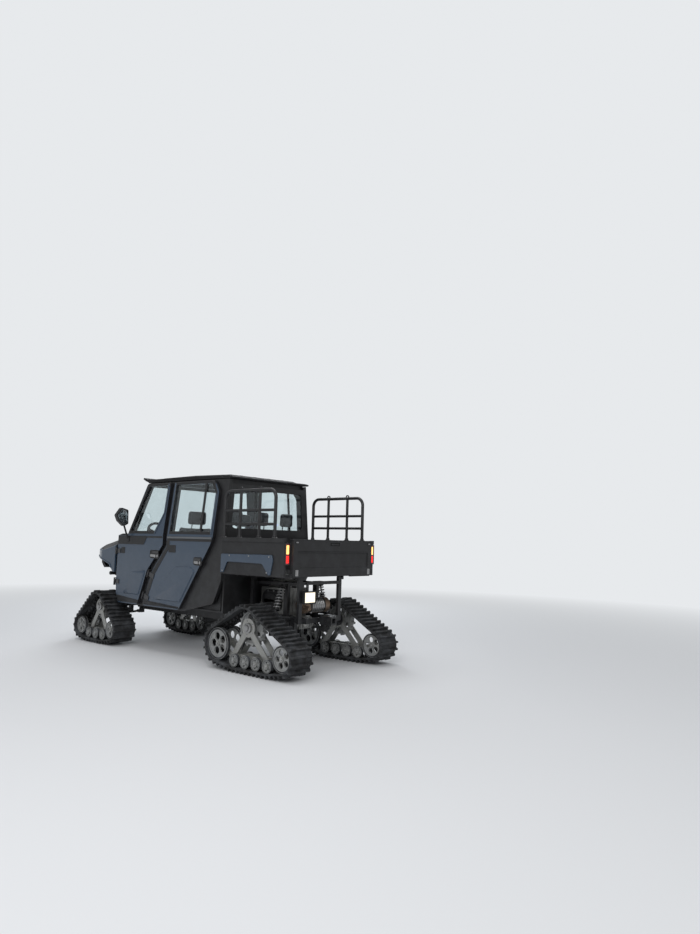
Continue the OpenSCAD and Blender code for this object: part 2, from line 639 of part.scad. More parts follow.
// Glass plates; extra is the clearance of the groove that takes them
module windscreen(extra) {
    run = [pillar_top_x - pillar_foot_x, roof_z - belt_z];
    rake = atan2(run.y, -run.x);
    length = norm(run);
    foot = inner_side + 8 + extra;
    head = lean_y(-frame_t, roof_z) + 8 + extra;
    translate([pillar_foot_x - 22, 0, belt_z]) rotate([0, rake - 90, 0])
        rotate([90, 0, 90]) translate([0, 0, -glass_t / 2 - extra])
        linear_extrude(glass_t + 2 * extra)
        polygon([[-foot, 12 - extra], [foot, 12 - extra], [head, length - 14 + extra], [-head, length - 14 + extra]]);
}
module rear_wall_solid() {
    top = roof_z - 50;
    translate([cab_rear_x, 0, 0]) rotate([90, 0, 90]) linear_extrude(wall_t)
        polygon([[-tub_side, rail_top_z + fit], [tub_side, rail_top_z + fit], [tub_side, belt_z - 6],
                 [lean_y(-frame_t, top) - 2 * fit, top], [-lean_y(-frame_t, top) + 2 * fit, top], [-tub_side, belt_z - 6]]);
}
module rear_window_plate(extra) {
    translate([cab_rear_x + wall_t / 2 - glass_t / 2 - extra, 0, 0]) rotate([90, 0, 90])
        linear_extrude(glass_t + 2 * extra)
        polygon(softened(grow(rear_window_corners, extra)));
}
module rear_wall() station() color([0.05, 0.05, 0.055]) difference() {
    rear_wall_solid();
    translate([cab_rear_x - 1, 0, 0]) rotate([90, 0, 90]) linear_extrude(wall_t + 2)
        polygon(softened(grow(rear_window_corners, -glass_grip)));
    rear_window_plate(fit);
}
module cab_glass() station() color([0.5, 0.6, 0.65, 0.4]) {
    windscreen(0);
    rear_window_plate(0);
}

module roof() station() color([0.04, 0.04, 0.045]) {
    half = lean_y(0, roof_z) + 8;
    front = pillar_top_x + visor;
    rear = cab_rear_x - 40;
    z = roof_z + fit;
    across([[rear, z], [pillar_top_x, z], [front, z + 58], [front + 4, z + 76], [pillar_top_x + 30, z + roof_t + 14],
            [pillar_top_x - 60, z + roof_t + 12], [1350, z + roof_t + 16], [rear + 60, z + roof_t],
            [rear, z + roof_t * 0.6]], half);
    across([[rear + 90, z + roof_t - 2], [pillar_top_x - 60, z + roof_t], [pillar_top_x - 160, z + roof_t + 32],
            [1350, z + roof_t + 38], [rear + 170, z + roof_t + 24]], half - 110);
}

module dashboard() station() color([0.09, 0.09, 0.1]) {
    difference() {
        across([[2330, 1110], [2540, 1110], [2520, 1352], [2420, 1362], [2300, 1345], [2255, 1260]],
               tub_side - 20);
        // Open glove shelf
        block([2200, -480, 1150], [2400, -120, 1240]);
    }
    // Instrument hood and column
    block([2260, steering_hub.y - 130, 1300], [2400, steering_hub.y + 130, 1392]);
    rod(steering_hub + 290 * column_run, steering_hub + (42 + fit) * column_run, 26);
}

module steering_wheel() station() translate(steering_hub) rotate([0, -steering_rake, 0])
    color([0.05, 0.05, 0.05]) {
    rotate_extrude() translate([165, 0]) circle(r = 15, $fn = 24);
    translate([0, 0, -42]) cylinder(r = 34, h = 52);
    for (a = [0, 120, 240]) rotate([0, 0, a + 60]) translate([20, -14, -14]) cube([134, 28, 14]);
}

// Seats: a cushion and a back with a rounded top, each one seat wide
module seat(w) {
    across(softened([[0, 0, 8], [450, 0, 30], [466, 110, 50], [60, 90, 20]], 3), w / 2);
    across(softened([[-110, 0, 20], [20, 0, 8], [62, 110, 20], [-70, 640, 36], [-150, 640, 36]], 3), w / 2 - 12);
    across(softened([[-70, 652, 20], [-90, 840, 36], [-176, 840, 36], [-158, 652, 20]], 3), w / 4);
    for (s = [-1, 1]) rod([-112, s * w / 8, 630], [-114, s * w / 8, 662], 7);
}
module front_seat() station() color([0.1, 0.1, 0.11])
    for (y = [-365, 365]) translate([1590, y, 860 + fit]) seat(520);
module rear_seat() station() color([0.1, 0.1, 0.11])
    for (y = [-410, 0, 410]) translate([830, y, 860 + fit]) seat(400);

// Nose
nose_x = wheelbase + nose_reach;
cowl_x = wheelbase - cowl_back;
// The hood's middle line: level with the cowl at the break, then falling to the front
cowl_break = pillar_foot_x + 145;
cowl_rear_x = front_hinge_x + 27;
function nose_top(x) = belt_z + 20 - (x - cowl_break) * tan(nose_fall);
nose_z = nose_top(nose_x);
// Its outline from above, as [x, y, corner radius]
nose_plan = [
    [2400, -cab_side - 44, 0], [nose_x - 325, -cab_side - 44, 160], [nose_x - 93, -620, 60], [nose_x + 6, -470, 20],
    [nose_x + 6, 470, 20], [nose_x - 93, 620, 60], [nose_x - 325, cab_side + 44, 160], [2400, cab_side + 44, 0]];
fender_t = 24;
// Its outline from ahead, as [y, height above the hood's middle line, corner radius]
nose_brow = [
    [-900, -900, 0], [900, -900, 0], [900, (hood_half - 900) * tan(hood_slope), 0], [hood_half, 0, 60],
    [-hood_half, 0, 60], [-900, (hood_half - 900) * tan(hood_slope), 0]];
module nose_block(d, low, high) translate([0, 0, low]) linear_extrude(high - low)
    polygon(softened(grow(nose_plan, d), 3));
module nose_skin(proud) difference() {
    nose_block(proud, 700, 1450);
    nose_block(-fender_t, 699, 1451);
}
// Children drawn ahead of the nose's tip, along the falling hood
module falling() translate([nose_x, 0, nose_z]) rotate([0, nose_fall, 0]) children();
module nose_crown(d) falling() translate([-1000, 0, 0]) rotate([90, 0, 90]) linear_extrude(1100)
    polygon(softened(grow(nose_brow, d), 3));
fender_outline = [
    [2665, 905, 5], [2705, 905, 20], [2790, 1000, 60], [nose_x - 325, 1062, 120], [nose_x - 90, 1085, 30],
    [nose_x - 60, 1130, 20], [nose_x - 60, 1400, 0], [2665, 1400, 0]];
module fenders() station() color([0.28, 0.33, 0.39]) both() intersection() {
    nose_crown(0);
    union() {
        intersection() {
            nose_skin(0);
            standing(softened(fender_outline), 380, 400);
        }
        // Rolled edge over the track
        intersection() {
            nose_skin(7);
            difference() {
                standing(softened(fender_outline), 380, 400);
                standing(softened(grow(fender_outline, -15)), 379, 402);
            }
            block([2745, 380, 900], [nose_x - 75, 780, 1110]);
        }
    }
}
hood_pin = [cowl_x + 3, nose_top(cowl_x + 3) - 2];
hood_hinges = [-300, 300];
// Front of the grille's face at height z
function grille_x(z) = z < 1060 ? nose_x - 165 + (z - 940) * 1.04 : nose_x - 40 + (z - 1060) * 0.29;
// Rear end of the ledges, measured along the falling hood
ledge_back = (cowl_rear_x + 4 - nose_x) / cos(nose_fall) + 192 * tan(nose_fall);
module front_fascia() station() color([0.06, 0.06, 0.065]) intersection() {
    nose_block(-fender_t - fit, 500, 1500);
    union() {
        // Cowl at the windscreen's foot
        across([[pillar_foot_x + 20, belt_z + fit], [cowl_rear_x, belt_z + fit], [cowl_rear_x, nose_top(cowl_rear_x)],
                [cowl_break, belt_z + 20], [pillar_foot_x + 20, belt_z + 20]], cab_side - 3);
        block([cowl_rear_x - 38, -600, belt_z - 60], [cowl_rear_x, 600, belt_z + 2]);
        // Falling part, notched for the hood's hinge barrels
        difference() {
            intersection() {
                nose_crown(0);
                block([cowl_rear_x - 2, -800, 1000], [cowl_x, 800, 1500]);
            }
            nose_crown(-40);
            for (y = hood_hinges)
                block([hood_pin.x - 14, y - barrel_h / 2 - 1, hood_pin.y - 66], [cowl_x + 1, y + barrel_h / 2 + 1, hood_pin.y + 20]);
        }
        for (y = hood_hinges) {
            for (t = [-1, 1]) lying(hood_pin.x, hood_pin.y, y + t * (barrel_h / 2 + 9) - 8, 10, 16);
            lying(hood_pin.x, hood_pin.y, y - barrel_h / 2 - 14, pin_r, barrel_h + 28);
        }
        difference() {
            across(softened([[nose_x - 205, 960, 10], [nose_x - 165, 940, 10], [nose_x - 40, 1060, 20],
                             [nose_x - 6, nose_z - 60, 15], [nose_x - 9, nose_z - 44, 5], [nose_x - 45, nose_z - 44, 5],
                             [nose_x - 85, 1080, 20]]), 580);
            block([nose_x - 225, -330, 1000], [nose_x + 75, 330, 1150]);
            headlamp_pair(fit);
        }
        for (z = [1008:34:1144]) block([grille_x(z) - 38, -331, z], [grille_x(z) - 12, 331, z + 10]);
        // Radiator, with arms to the lamps and to the ledges that carry the fenders
        block([wheelbase + 162, -300, rail_top_z + fit], [wheelbase + 206, 300, 1150]);
        both() {
            block([wheelbase + 150, 290, 1040], [nose_x - 90, 470, 1068]);
            block([wheelbase + 150, 290, 1050], [wheelbase + 200, 640, 1150]);
            falling() block([ledge_back, 560, -190], [-75, 730, -170]);
            falling() block([ledge_back, 620, -191], [ledge_back + 46, 700, -124]);
        }
    }
}
module headlamp_pair(extra) both()
    standing(softened(grow([[nose_x - 63, 1096, 10], [nose_x + 2, 1104, 10], [nose_x + 4, 1168, 10],
                            [nose_x - 63, 1160, 10]], extra)), 360 - extra, 200 + 2 * extra);
module headlamps() station() color([0.85, 0.87, 0.9]) intersection() {
    nose_block(-fender_t - fit, 1000, 1400);
    headlamp_pair(0);
}
module front_bumper() station() color([0.07, 0.07, 0.07]) {
    bar_x = nose_x - 75;
    for (z = [860, 1000]) rod([bar_x + (z - 860) * 0.35, -430, z], [bar_x + (z - 860) * 0.35, 430, z], 24);
    both() {
        rod([bar_x - 6, 330, 830], [bar_x + 56, 330, 1030], 22);
        rod([bar_x, 330, 860], [frame_front_x + 24, rail_y, rail_top_z - 10], 20);
        block([frame_front_x + fit, rail_y - 30, rail_low + 4], [frame_front_x + 24, rail_y + 30, rail_top_z + 20]);
    }
}
module hood() station() color([0.05, 0.05, 0.055]) difference() {
    union() {
        intersection() {
            nose_block(-fender_t - fit - 6, 1000, 1500);
            block([cowl_x + 6, -800, 1000], [nose_x - 26, 800, 1500]);
            difference() {
                nose_crown(0);
                nose_crown(-skin_t);
            }
        }
        block([nose_x - 44, 20 - hood_half, nose_z - 36], [nose_x - 26, hood_half - 20, nose_z - 4]);
        for (y = hood_hinges) lying(hood_pin.x, hood_pin.y, y - barrel_h / 2, 10, barrel_h);
    }
    for (y = hood_hinges) lying(hood_pin.x, hood_pin.y, y - barrel_h / 2 - 1, pin_r + run_fit, barrel_h + 2);
    // Notches round the cowl's hinge lugs
    for (y = hood_hinges, t = [-1, 1])
        block([cowl_x + 5, y + t * (barrel_h / 2 + 14) - 14, hood_pin.y - 36],
              [hood_pin.x + 16, y + t * (barrel_h / 2 + 14) + 14, hood_pin.y + 20]);
}

module work_lamp() station() color([0.9, 0.88, 0.8]) {
    block([dump_x - post - 44, 137, 702], [dump_x - post - 8, 307, 822]);
    block([dump_x - post - 10, 205, 790], [dump_x - post - fit, 240, 915]);
}

// Doors
module hinge_leaf(along, reach) {
    for (z = along) translate([0, 0, z]) difference() {
        union() {
            cylinder(r = barrel_r, h = barrel_h, center = true);
            translate([-reach, -13, 2 - barrel_h / 2]) cube([reach, 9, barrel_h - 4]);
        }
        cylinder(r = pin_r + run_fit, h = barrel_h + 2, center = true);
    }
}
module glass_of(window, extra) leaning()
    standing(softened(grow(window, glass_grip + extra)), door_in + door_t / 2 - glass_t / 2 - extra, glass_t + 2 * extra);
module door(lower, upper, window) color([0.28, 0.33, 0.39]) difference() {
    union() {
        standing(softened(lower), door_in, door_t);
        leaning() difference() {
            standing(softened(upper), door_in, door_t);
            standing(softened(window), door_in - 1, door_t + 2);
        }
    }
    glass_of(window, fit);
}
module front_door(s) station() on_side(s) color([0.28, 0.33, 0.39]) {
    door(front_lower(belt_z), front_upper(belt_z - 12), front_window);
    front_hinge_frame() hinge_leaf(front_hinges, 90);
    block([1700, door_out - 1, 1165], [1820, door_out + 14, 1195]);
}
module rear_door(s) station() on_side(s) color([0.28, 0.33, 0.39]) {
    door(rear_lower(belt_z), rear_upper(belt_z - 12), rear_window);
    rear_hinge_frame() hinge_leaf(rear_hinges, 120);
    block([880, door_out - 1, 1105], [1000, door_out + 14, 1135]);
}
module front_door_left() front_door(1);
module front_door_right() front_door(-1);
module rear_door_left() rear_door(1);
module rear_door_right() rear_door(-1);
module front_door_glass_left() station() color([0.5, 0.6, 0.65, 0.4]) glass_of(front_window, 0);
module front_door_glass_right() station() color([0.5, 0.6, 0.65, 0.4]) on_side(-1) glass_of(front_window, 0);
module rear_door_glass_left() station() color([0.5, 0.6, 0.65, 0.4]) glass_of(rear_window, 0);
module rear_door_glass_right() station() color([0.5, 0.6, 0.65, 0.4]) on_side(-1) glass_of(rear_window, 0);
module mirror_arm(s) station() on_side(s) color([0.04, 0.04, 0.04]) {
    block([2350, door_out + fit, 1300], [2410, door_out + 14, 1372]);
    rod([2380, door_out + 10, 1340], [2345, 830, 1520], 11);
    intersection() {
        standing(softened([[2312, 1480, 14], [2368, 1480, 20], [2378, 1730, 20], [2322, 1730, 14]]), 770, 190);
        translate([2300, 0, 0]) rotate([90, 0, 90]) linear_extrude(90)
            polygon(softened([[842, 1489, 16], [916, 1551, 20], [949, 1624, 20], [879, 1721, 16], [786, 1695, 16],
                              [781, 1521, 16]], 3));
    }
}
module mirror_left() mirror_arm(1);
module mirror_right() mirror_arm(-1);

// Cargo box
module cargo_box() station() color([0.06, 0.06, 0.065]) difference() {
    union() {
        block([box_rear_x, -box_half, box_floor_z], [box_front_x, box_half, rail_z]);
        both() block([box_rear_x, box_half - 6, rail_z - 40], [box_front_x, box_half + 12, rail_z]);
        both() block([dump_x - 26, rail_y + 114, dump_z - 24], [dump_x + 26, rail_y + 134, box_floor_z + 1]);
        both() lying(dump_x, dump_z, rail_y + 56, 12, 70);
        // Ears that take the tailgate's pins
        both() block([gate_pin_x - 16, gate_half + 6, box_floor_z + 2], [box_rear_x + 1, gate_half + 16, gate_hinge_z + 16]);
    }
    difference() {
        block([box_rear_x - 1, -box_half + box_t, box_floor_z + box_t], [box_front_x - box_t, box_half - box_t, rail_z + 1]);
        // Floor ribs
        for (y = [-480:160:480])
            block([box_rear_x + 40, y - 22, box_floor_z], [box_front_x - box_t - 40, y + 22, box_floor_z + box_t + 6]);
    }
    both() lying(gate_pin_x, gate_hinge_z, gate_half, 10 + run_fit, 30);
}
// Side panel with its arch over the track
module box_side_panels() station() color([0.28, 0.33, 0.39]) both() translate([0, 0, box_floor_z])
    standing(softened([[box_rear_x + 181, 16, 6], [box_rear_x + 215, 15, 6], [box_rear_x + 308, 127, 50],
                       [430, 132, 40], [485, 18, 6], [box_front_x - 10, 15, 6], [box_front_x - 10, 215, 20],
                       [box_rear_x + 165, 222, 20], [box_rear_x + 150, 165, 20]]), box_half + fit, 16);
module rack_rod(p, q, r) rod([p.x, 0, p.y], [q.x, 0, q.y], r);
module side_racks() station() color([0.03, 0.03, 0.03]) both() translate([0, box_half - 12, 0]) {
    lo = rail_z + fit;
    hi = rail_z + rack_h - rack_r;
    xf = box_front_x - 20;
    xr = box_rear_x + 160;
    bend = 90;
    mids = [xr + (xf - xr) * 0.3, xr + (xf - xr) * 0.68];
    for (x = [xf, xr]) rack_rod([x, lo], [x, hi - bend], rack_r);
    rack_rod([xr + bend, hi], [xf - bend, hi], rack_r);
    // Bends at both top corners
    for (c = [[xf - bend, 0], [xr + bend, 90]]) translate([c.x, 0, hi - bend]) rotate([90, 0, 0]) rotate([0, 0, c.y])
        rotate_extrude(angle = 90) translate([bend, 0]) circle(r = rack_r);
    for (x = mids) {
        rack_rod([x, lo], [x, hi], rack_r - 2);
        translate([x, 0, hi + rack_r]) rotate([90, 0, 0]) difference() {
            cylinder(r = 24, h = 10, center = true);
            cylinder(r = 13, h = 12, center = true);
        }
    }
    for (z = [rail_z + rack_h * 0.28, rail_z + rack_h * 0.56]) rack_rod([xr, z], [xf, z], rack_r - 3);
}
module tail_lamps() station() color([0.8, 0.05, 0.05]) both()
    block([box_rear_x - 12, box_half - 66, box_floor_z + 130], [box_rear_x - fit, box_half - 4, box_floor_z + 340]);
module tailgate() station() color([0.06, 0.06, 0.065]) {
    half = gate_half;
    back = gate_pin_x - gate_t / 2;
    front = gate_pin_x + gate_t / 2;
    low = box_floor_z + 97;
    high = box_floor_z + 260;
    difference() {
        across([[back, gate_hinge_z - 14], [front - 10, gate_hinge_z - 14], [front, gate_hinge_z - 4], [front, rail_z - 4],
                [back, rail_z - 4]], half);
        // Pressed panel and hand hold
        across([[back - 1, low - 7], [back + 9, low + 3], [back + 9, high - 3], [back - 1, high + 7]], half - 70);
        block([back - 1, -75, rail_z - 64], [back + 14, 75, rail_z - 30]);
    }
    both() lying(gate_pin_x, gate_hinge_z, half - 1, 10, 17);
}

frame();
skid_plate();
engine_block();
exhaust_muffler();
front_suspension();
rear_suspension();
shock_absorbers();
body_tub();
cab_frame();
cab_glass();
rear_wall();
roof();
dashboard();
front_seat();
rear_seat();
fenders();
front_fascia();
headlamps();
front_bumper();
work_lamp();
rear_belt_left();
rear_belt_right();
rear_track_frames();
rear_track_wheels();
hood();
steering_wheel();
steering_rack();
front_belt_left();
front_belt_right();
front_unit_frame_left();
front_unit_frame_right();
front_wheels_left();
front_wheels_right();
knuckle_left();
knuckle_right();
front_door_left();
front_door_right();
front_door_glass_left();
front_door_glass_right();
mirror_left();
mirror_right();
rear_door_left();
rear_door_right();
rear_door_glass_left();
rear_door_glass_right();
cargo_box();
box_side_panels();
side_racks();
tail_lamps();
tailgate();
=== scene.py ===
"""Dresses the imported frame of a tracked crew-cab utility vehicle and sets up its studio."""

import json
import logging
import math
from dataclasses import dataclass, field, replace
from enum import Enum

import bmesh
import bpy
from mathutils import Matrix, Vector

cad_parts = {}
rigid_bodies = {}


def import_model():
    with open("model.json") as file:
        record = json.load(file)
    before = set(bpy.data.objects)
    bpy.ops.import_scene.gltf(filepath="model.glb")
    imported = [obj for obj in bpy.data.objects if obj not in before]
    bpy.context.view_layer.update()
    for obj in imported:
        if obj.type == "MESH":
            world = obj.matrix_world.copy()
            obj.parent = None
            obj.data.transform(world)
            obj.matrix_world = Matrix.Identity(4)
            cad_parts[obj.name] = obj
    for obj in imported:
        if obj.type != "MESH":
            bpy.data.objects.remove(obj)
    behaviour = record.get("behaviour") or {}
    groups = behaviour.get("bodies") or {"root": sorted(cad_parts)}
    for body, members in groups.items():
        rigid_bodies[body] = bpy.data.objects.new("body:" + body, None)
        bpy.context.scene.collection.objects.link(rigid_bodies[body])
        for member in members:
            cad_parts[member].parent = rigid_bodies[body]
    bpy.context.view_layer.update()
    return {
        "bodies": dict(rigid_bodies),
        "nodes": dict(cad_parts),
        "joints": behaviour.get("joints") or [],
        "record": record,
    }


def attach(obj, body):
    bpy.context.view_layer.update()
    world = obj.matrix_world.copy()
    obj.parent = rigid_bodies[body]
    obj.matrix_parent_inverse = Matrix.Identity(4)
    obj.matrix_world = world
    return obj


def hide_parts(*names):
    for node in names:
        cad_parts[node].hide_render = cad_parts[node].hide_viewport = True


LOG = logging.getLogger("tracked_vehicle")
Colour = tuple[float, float, float]
Flat = tuple[float, float]
Corner = tuple[float, float, float]
Socket = bpy.types.NodeSocket

# Sizes shared with the frame, in millimetres in stations: x is 0 at the rear axle
MID_X = 1328.16
WHEELBASE = 2870.0
HUB_Z = 455.0
TRACK_Y = 700.0
CAB_SIDE = 685.0
DOOR_IN = 690.5
DOOR_OUT = 725.5
BELT_Z = 1380.0
ROOF_Z = 2040.0
TUMBLE = 6.0
BOX_REAR = -435.0
BOX_FLOOR = 985.0
BOX_HALF = 720.0
NOSE_X = 3325.0
SEAT_Z = 860.3

# Directions of the row frame
AHEAD = Vector((1, 0, 0))
SIDEWAYS = Vector((0, 1, 0))
UP = Vector((0, 0, 1))
FULL_TURN = 2 * math.pi


class Side(Enum):
    """Left and right of the vehicle, with the sign of y."""

    LEFT = 1
    RIGHT = -1

    @property
    def word(self) -> str:
        """The side's name as the nodes spell it."""
        return self.name.lower()


def both(names: str) -> str:
    """The left and the right one of each named node."""
    return " ".join(f"{name}_{side.word}" for name in names.split() for side in Side)


def row(x: float, y: float, z: float) -> Vector:
    """A point in stations and millimetres, as metres in the row frame."""
    return Vector(((x - MID_X) / 1000, y / 1000, z / 1000))


def leaned(point: Vector) -> Vector:
    """A point of the left side, in row metres, leaned inwards with the upper cab.

    Args:
        point: where it would be on an upright side.

    Returns:
        Where it is after turning about the belt line.
    """
    pivot = Vector((0, CAB_SIDE / 1000, BELT_Z / 1000))
    return pivot + Matrix.Rotation(math.radians(TUMBLE), 3, "X") @ (point - pivot)


# Outlines


def grown(corners: list[Corner], d: float) -> list[Corner]:
    """An anticlockwise outline of (x, z, radius) corners with all edges moved outwards.

    Args:
        corners: the outline.
        d: how far, in millimetres; negative moves inwards.

    Returns:
        The new corners with the same radii.
    """
    out = []
    n = len(corners)
    for i, (x, z, r) in enumerate(corners):
        p = Vector((x, z))
        a = (p - Vector(corners[i - 1][:2])).normalized()
        b = (Vector(corners[(i + 1) % n][:2]) - p).normalized()
        before, after = Vector((a.y, -a.x)), Vector((b.y, -b.x))
        q = p + d * (before + after) / (1 + before.dot(after))
        out.append((q.x, q.y, r))
    return out


def softened(corners: list[Corner], steps: int = 5) -> list[Flat]:
    """The outline with its corners rounded.

    Args:
        corners: (x, z, radius) corners, anticlockwise.
        steps: pieces in each arc.

    Returns:
        Plain points.
    """
    out: list[Flat] = []
    n = len(corners)
    for i, (x, z, r) in enumerate(corners):
        p = Vector((x, z))
        if r == 0:
            out.append((x, z))
            continue
        a = (Vector(corners[i - 1][:2]) - p).normalized()
        b = (Vector(corners[(i + 1) % n][:2]) - p).normalized()
        half = math.acos(max(-1.0, min(1.0, a.dot(b)))) / 2
        centre = p + (a + b).normalized() * r / math.sin(half)
        start = p + a * r / math.tan(half) - centre
        end = p + b * r / math.tan(half) - centre
        sweep = math.atan2(start.x * end.y - start.y * end.x, start.dot(end))
        for k in range(steps + 1):
            q = centre + Matrix.Rotation(sweep * k / steps, 2) @ start
            out.append((q.x, q.y))
    return out


@dataclass(frozen=True)
class Run:
    """A straight or curved stretch of a belt loop."""

    length: float
    start: Vector
    end: Vector
    out: Vector
    radius: float = 0.0
    angle: float = 0.0

    def at(self, s: float, lift: float) -> tuple[Vector, Vector]:
        """The point at distance s along the run, lifted outwards, and its outward direction."""
        if self.radius == 0:
            return self.start + (self.end - self.start) * s / self.length + self.out * lift, self.out
        a = self.angle + s / self.radius
        out = Vector((math.cos(a), math.sin(a)))
        return self.start + out * (self.radius + lift), out


def loop_runs(wheels: list[Corner]) -> list[Run]:
    """The runs of a belt round its wheels.

    Args:
        wheels: (x, z, radius) of each wheel, anticlockwise.

    Returns:
        Straight and curved runs in turn.
    """

    def leaving(a: Corner, b: Corner) -> float:
        """The direction from a wheel's middle to where the belt leaves it."""
        dx, dz = b[0] - a[0], b[1] - a[1]
        return math.atan2(dz, dx) - math.acos((a[2] - b[2]) / math.hypot(dx, dz))

    runs = []
    n = len(wheels)
    for i in range(n):
        w, v, u = wheels[i], wheels[(i + 1) % n], wheels[(i + 2) % n]
        leave, then = leaving(w, v), leaving(v, u)
        out = Vector((math.cos(leave), math.sin(leave)))
        start = Vector(w[:2]) + out * w[2]
        end = Vector(v[:2]) + out * v[2]
        swing = (then - leave) % FULL_TURN
        runs.append(Run((end - start).length, start, end, out))
        runs.append(Run(v[2] * swing, Vector(v[:2]), end, out, v[2], leave))
    return runs


def loop_at(runs: list[Run], s: float, lift: float) -> tuple[Vector, Vector]:
    """The point at distance s along the whole loop, and its outward direction."""
    for run in runs:
        if s <= run.length:
            return run.at(s, lift)
        s -= run.length
    return runs[-1].at(runs[-1].length, lift)


# Mesh making


def ring_points(centre: Vector, side: Vector, up: Vector, r: float, count: int,
                start: float = 0.0) -> list[Vector]:
    """Points evenly round a circle in the plane of two unit directions, in metres."""
    turns = [start + FULL_TURN * k / count for k in range(count)]
    return [centre + r * (math.cos(a) * side + math.sin(a) * up) for a in turns]


def upright(x0: float, z0: float, x1: float, z1: float, r: float) -> list[Corner]:
    """The anticlockwise outline of a rectangle with rounded corners."""
    return [(x1, z0, r), (x1, z1, r), (x0, z1, r), (x0, z0, r)]


@dataclass
class Shape:
    """Vertices and faces of one piece, in row metres."""

    verts: list[Vector] = field(default_factory=list)
    faces: list[list[int]] = field(default_factory=list)

    def add(self, verts: list[Vector], faces: list[list[int]]) -> None:
        """Takes in more vertices and the faces between them."""
        base = len(self.verts)
        self.verts += verts
        self.faces += [[base + i for i in f] for f in faces]

    def rings(self, rings: list[list[Vector]], closed: bool = False, caps: bool = True) -> None:
        """Joins rings of equally many points.

        Args:
            rings: the rings in order.
            closed: whether the last ring joins the first one.
            caps: whether the ends are filled.
        """
        n = len(rings[0])
        faces = []
        count = len(rings)
        for k in range(count if closed else count - 1):
            for i in range(n):
                j = (i + 1) % n
                a, b = k * n, ((k + 1) % count) * n
                faces.append([a + i, a + j, b + j, b + i])
        if caps and not closed:
            faces.append(list(range(n))[::-1])
            faces.append([(count - 1) * n + i for i in range(n)])
        self.add([p for ring in rings for p in ring], faces)

    def tube(self, points: list[Vector], radius: float, sides: int = 12, closed: bool = False) -> None:
        """A round tube through points.

        Args:
            points: its middle line, in metres.
            radius: in metres.
            sides: of its cross-section.
            closed: whether it is a ring.
        """
        rings = []
        n = len(points)
        side = None
        for i, p in enumerate(points):
            before = points[i - 1] if i or closed else p
            after = points[(i + 1) % n] if i < n - 1 or closed else p
            along = (after - before).normalized()
            if side is None:
                side = along.orthogonal().normalized()
            side = (side - along * side.dot(along)).normalized()
            rings.append(ring_points(p, side, along.cross(side), radius, sides))
        self.rings(rings, closed=closed)

    def lathe(self, centre: Vector, axis: Vector, profile: list[Flat], sides: int = 32) -> None:
        """A turned part.

        Args:
            centre: the point that the profile's heights start from.
            axis: its direction.
            profile: (radius, height) in metres, from one end to the other.
            sides: of its cross-section.
        """
        axis = axis.normalized()
        side = axis.orthogonal().normalized()
        up = axis.cross(side)
        self.rings([ring_points(centre + axis * h, side, up, r, sides) for r, h in profile])

    def bolt(self, centre: Vector, axis: Vector, size: float) -> None:
        """A hexagon bolt head on its washer, of that size across its corners."""
        for sides, profile in ((16, ((0.72, 0.0), (0.72, 0.12), (0.5, 0.12))),
                               (6, ((0.5, 0.1), (0.5, 0.42), (0.4, 0.5)))):
            self.lathe(centre, axis, [(size * r, size * h) for r, h in profile], sides)

    def bolts(self, spots: list[Corner], axis: Vector, size: float) -> None:
        """Bolt heads at places in stations."""
        for spot in spots:
            self.bolt(row(*spot), axis, size)

    def block(self, low: Corner, high: Corner) -> None:
        """A box between two corners in stations; the piece's bevel rounds it."""
        x, y, z = zip(row(*low), row(*high))
        pts = [Vector((x[i], y[j], z[k])) for i in (0, 1) for j in (0, 1) for k in (0, 1)]
        self.add(pts, [[0, 1, 3, 2], [4, 6, 7, 5], [0, 4, 5, 1], [2, 3, 7, 6], [0, 2, 6, 4], [1, 5, 7, 3]])

    def pair(self, low: Corner, high: Corner) -> None:
        """A box on the left side, given in stations, and its like on the right side."""
        self.block((low[0], -high[1], low[2]), (high[0], -low[1], high[2]))
        self.block(low, high)

    def plate(self, corners: list[Corner], y: float, t: float, chamfer: float = 2.0, lean: bool = False,
              hole: list[Corner] | None = None) -> None:
        """A plate of the left side with a chamfered outer edge, drawn in x and z.

        Args:
            corners: its outline in stations.
            y: its inner face.
            t: its thickness, below 0 for a plate that faces inwards.
            chamfer: width of the chamfer.
            lean: whether it leans with the upper cab.
            hole: an outline to leave open, with as many corners as the plate's.
        """
        def points(outline: list[Corner], level: float) -> list[Vector]:
            """The rounded outline standing at a y level."""
            made = [row(px, level, pz) for px, pz in softened(outline)]
            return [leaned(p) for p in made] if lean else made

        brink = y + t - math.copysign(chamfer, t)
        outer = [points(corners, y), points(corners, brink), points(grown(corners, -chamfer), y + t)]
        if hole is None:
            self.rings(outer)
            return
        inner = [points(grown(hole, chamfer), y + t), points(hole, brink), points(hole, y)]
        self.rings(outer + inner, closed=True)

    def mesh(self, name: str) -> bpy.types.Mesh:
        """The shape as a mesh whose faces look outwards."""
        mesh = bpy.data.meshes.new(name)
        mesh.from_pydata([tuple(v) for v in self.verts], [], self.faces)
        bm = bmesh.new()
        bm.from_mesh(mesh)
        bmesh.ops.recalc_face_normals(bm, faces=bm.faces)
        bm.to_mesh(mesh)
        bm.free()
        return mesh


def mirrored(shape: Shape) -> Shape:
    """The same shape on the right side."""
    return Shape([Vector((v.x, -v.y, v.z)) for v in shape.verts], [f[::-1] for f in shape.faces])


def shade(mesh: bpy.types.Mesh, angle: float) -> None:
    """Smooth faces with sharp edges where they turn more than angle degrees."""
    mesh.polygons.foreach_set("use_smooth", [True] * len(mesh.polygons))
    mesh.set_sharp_from_angle(angle=math.radians(angle))


def linked(name: str, data: bpy.types.ID) -> bpy.types.Object:
    """A new object in the scene."""
    obj = bpy.data.objects.new(name, data)
    bpy.context.scene.collection.objects.link(obj)
    return obj


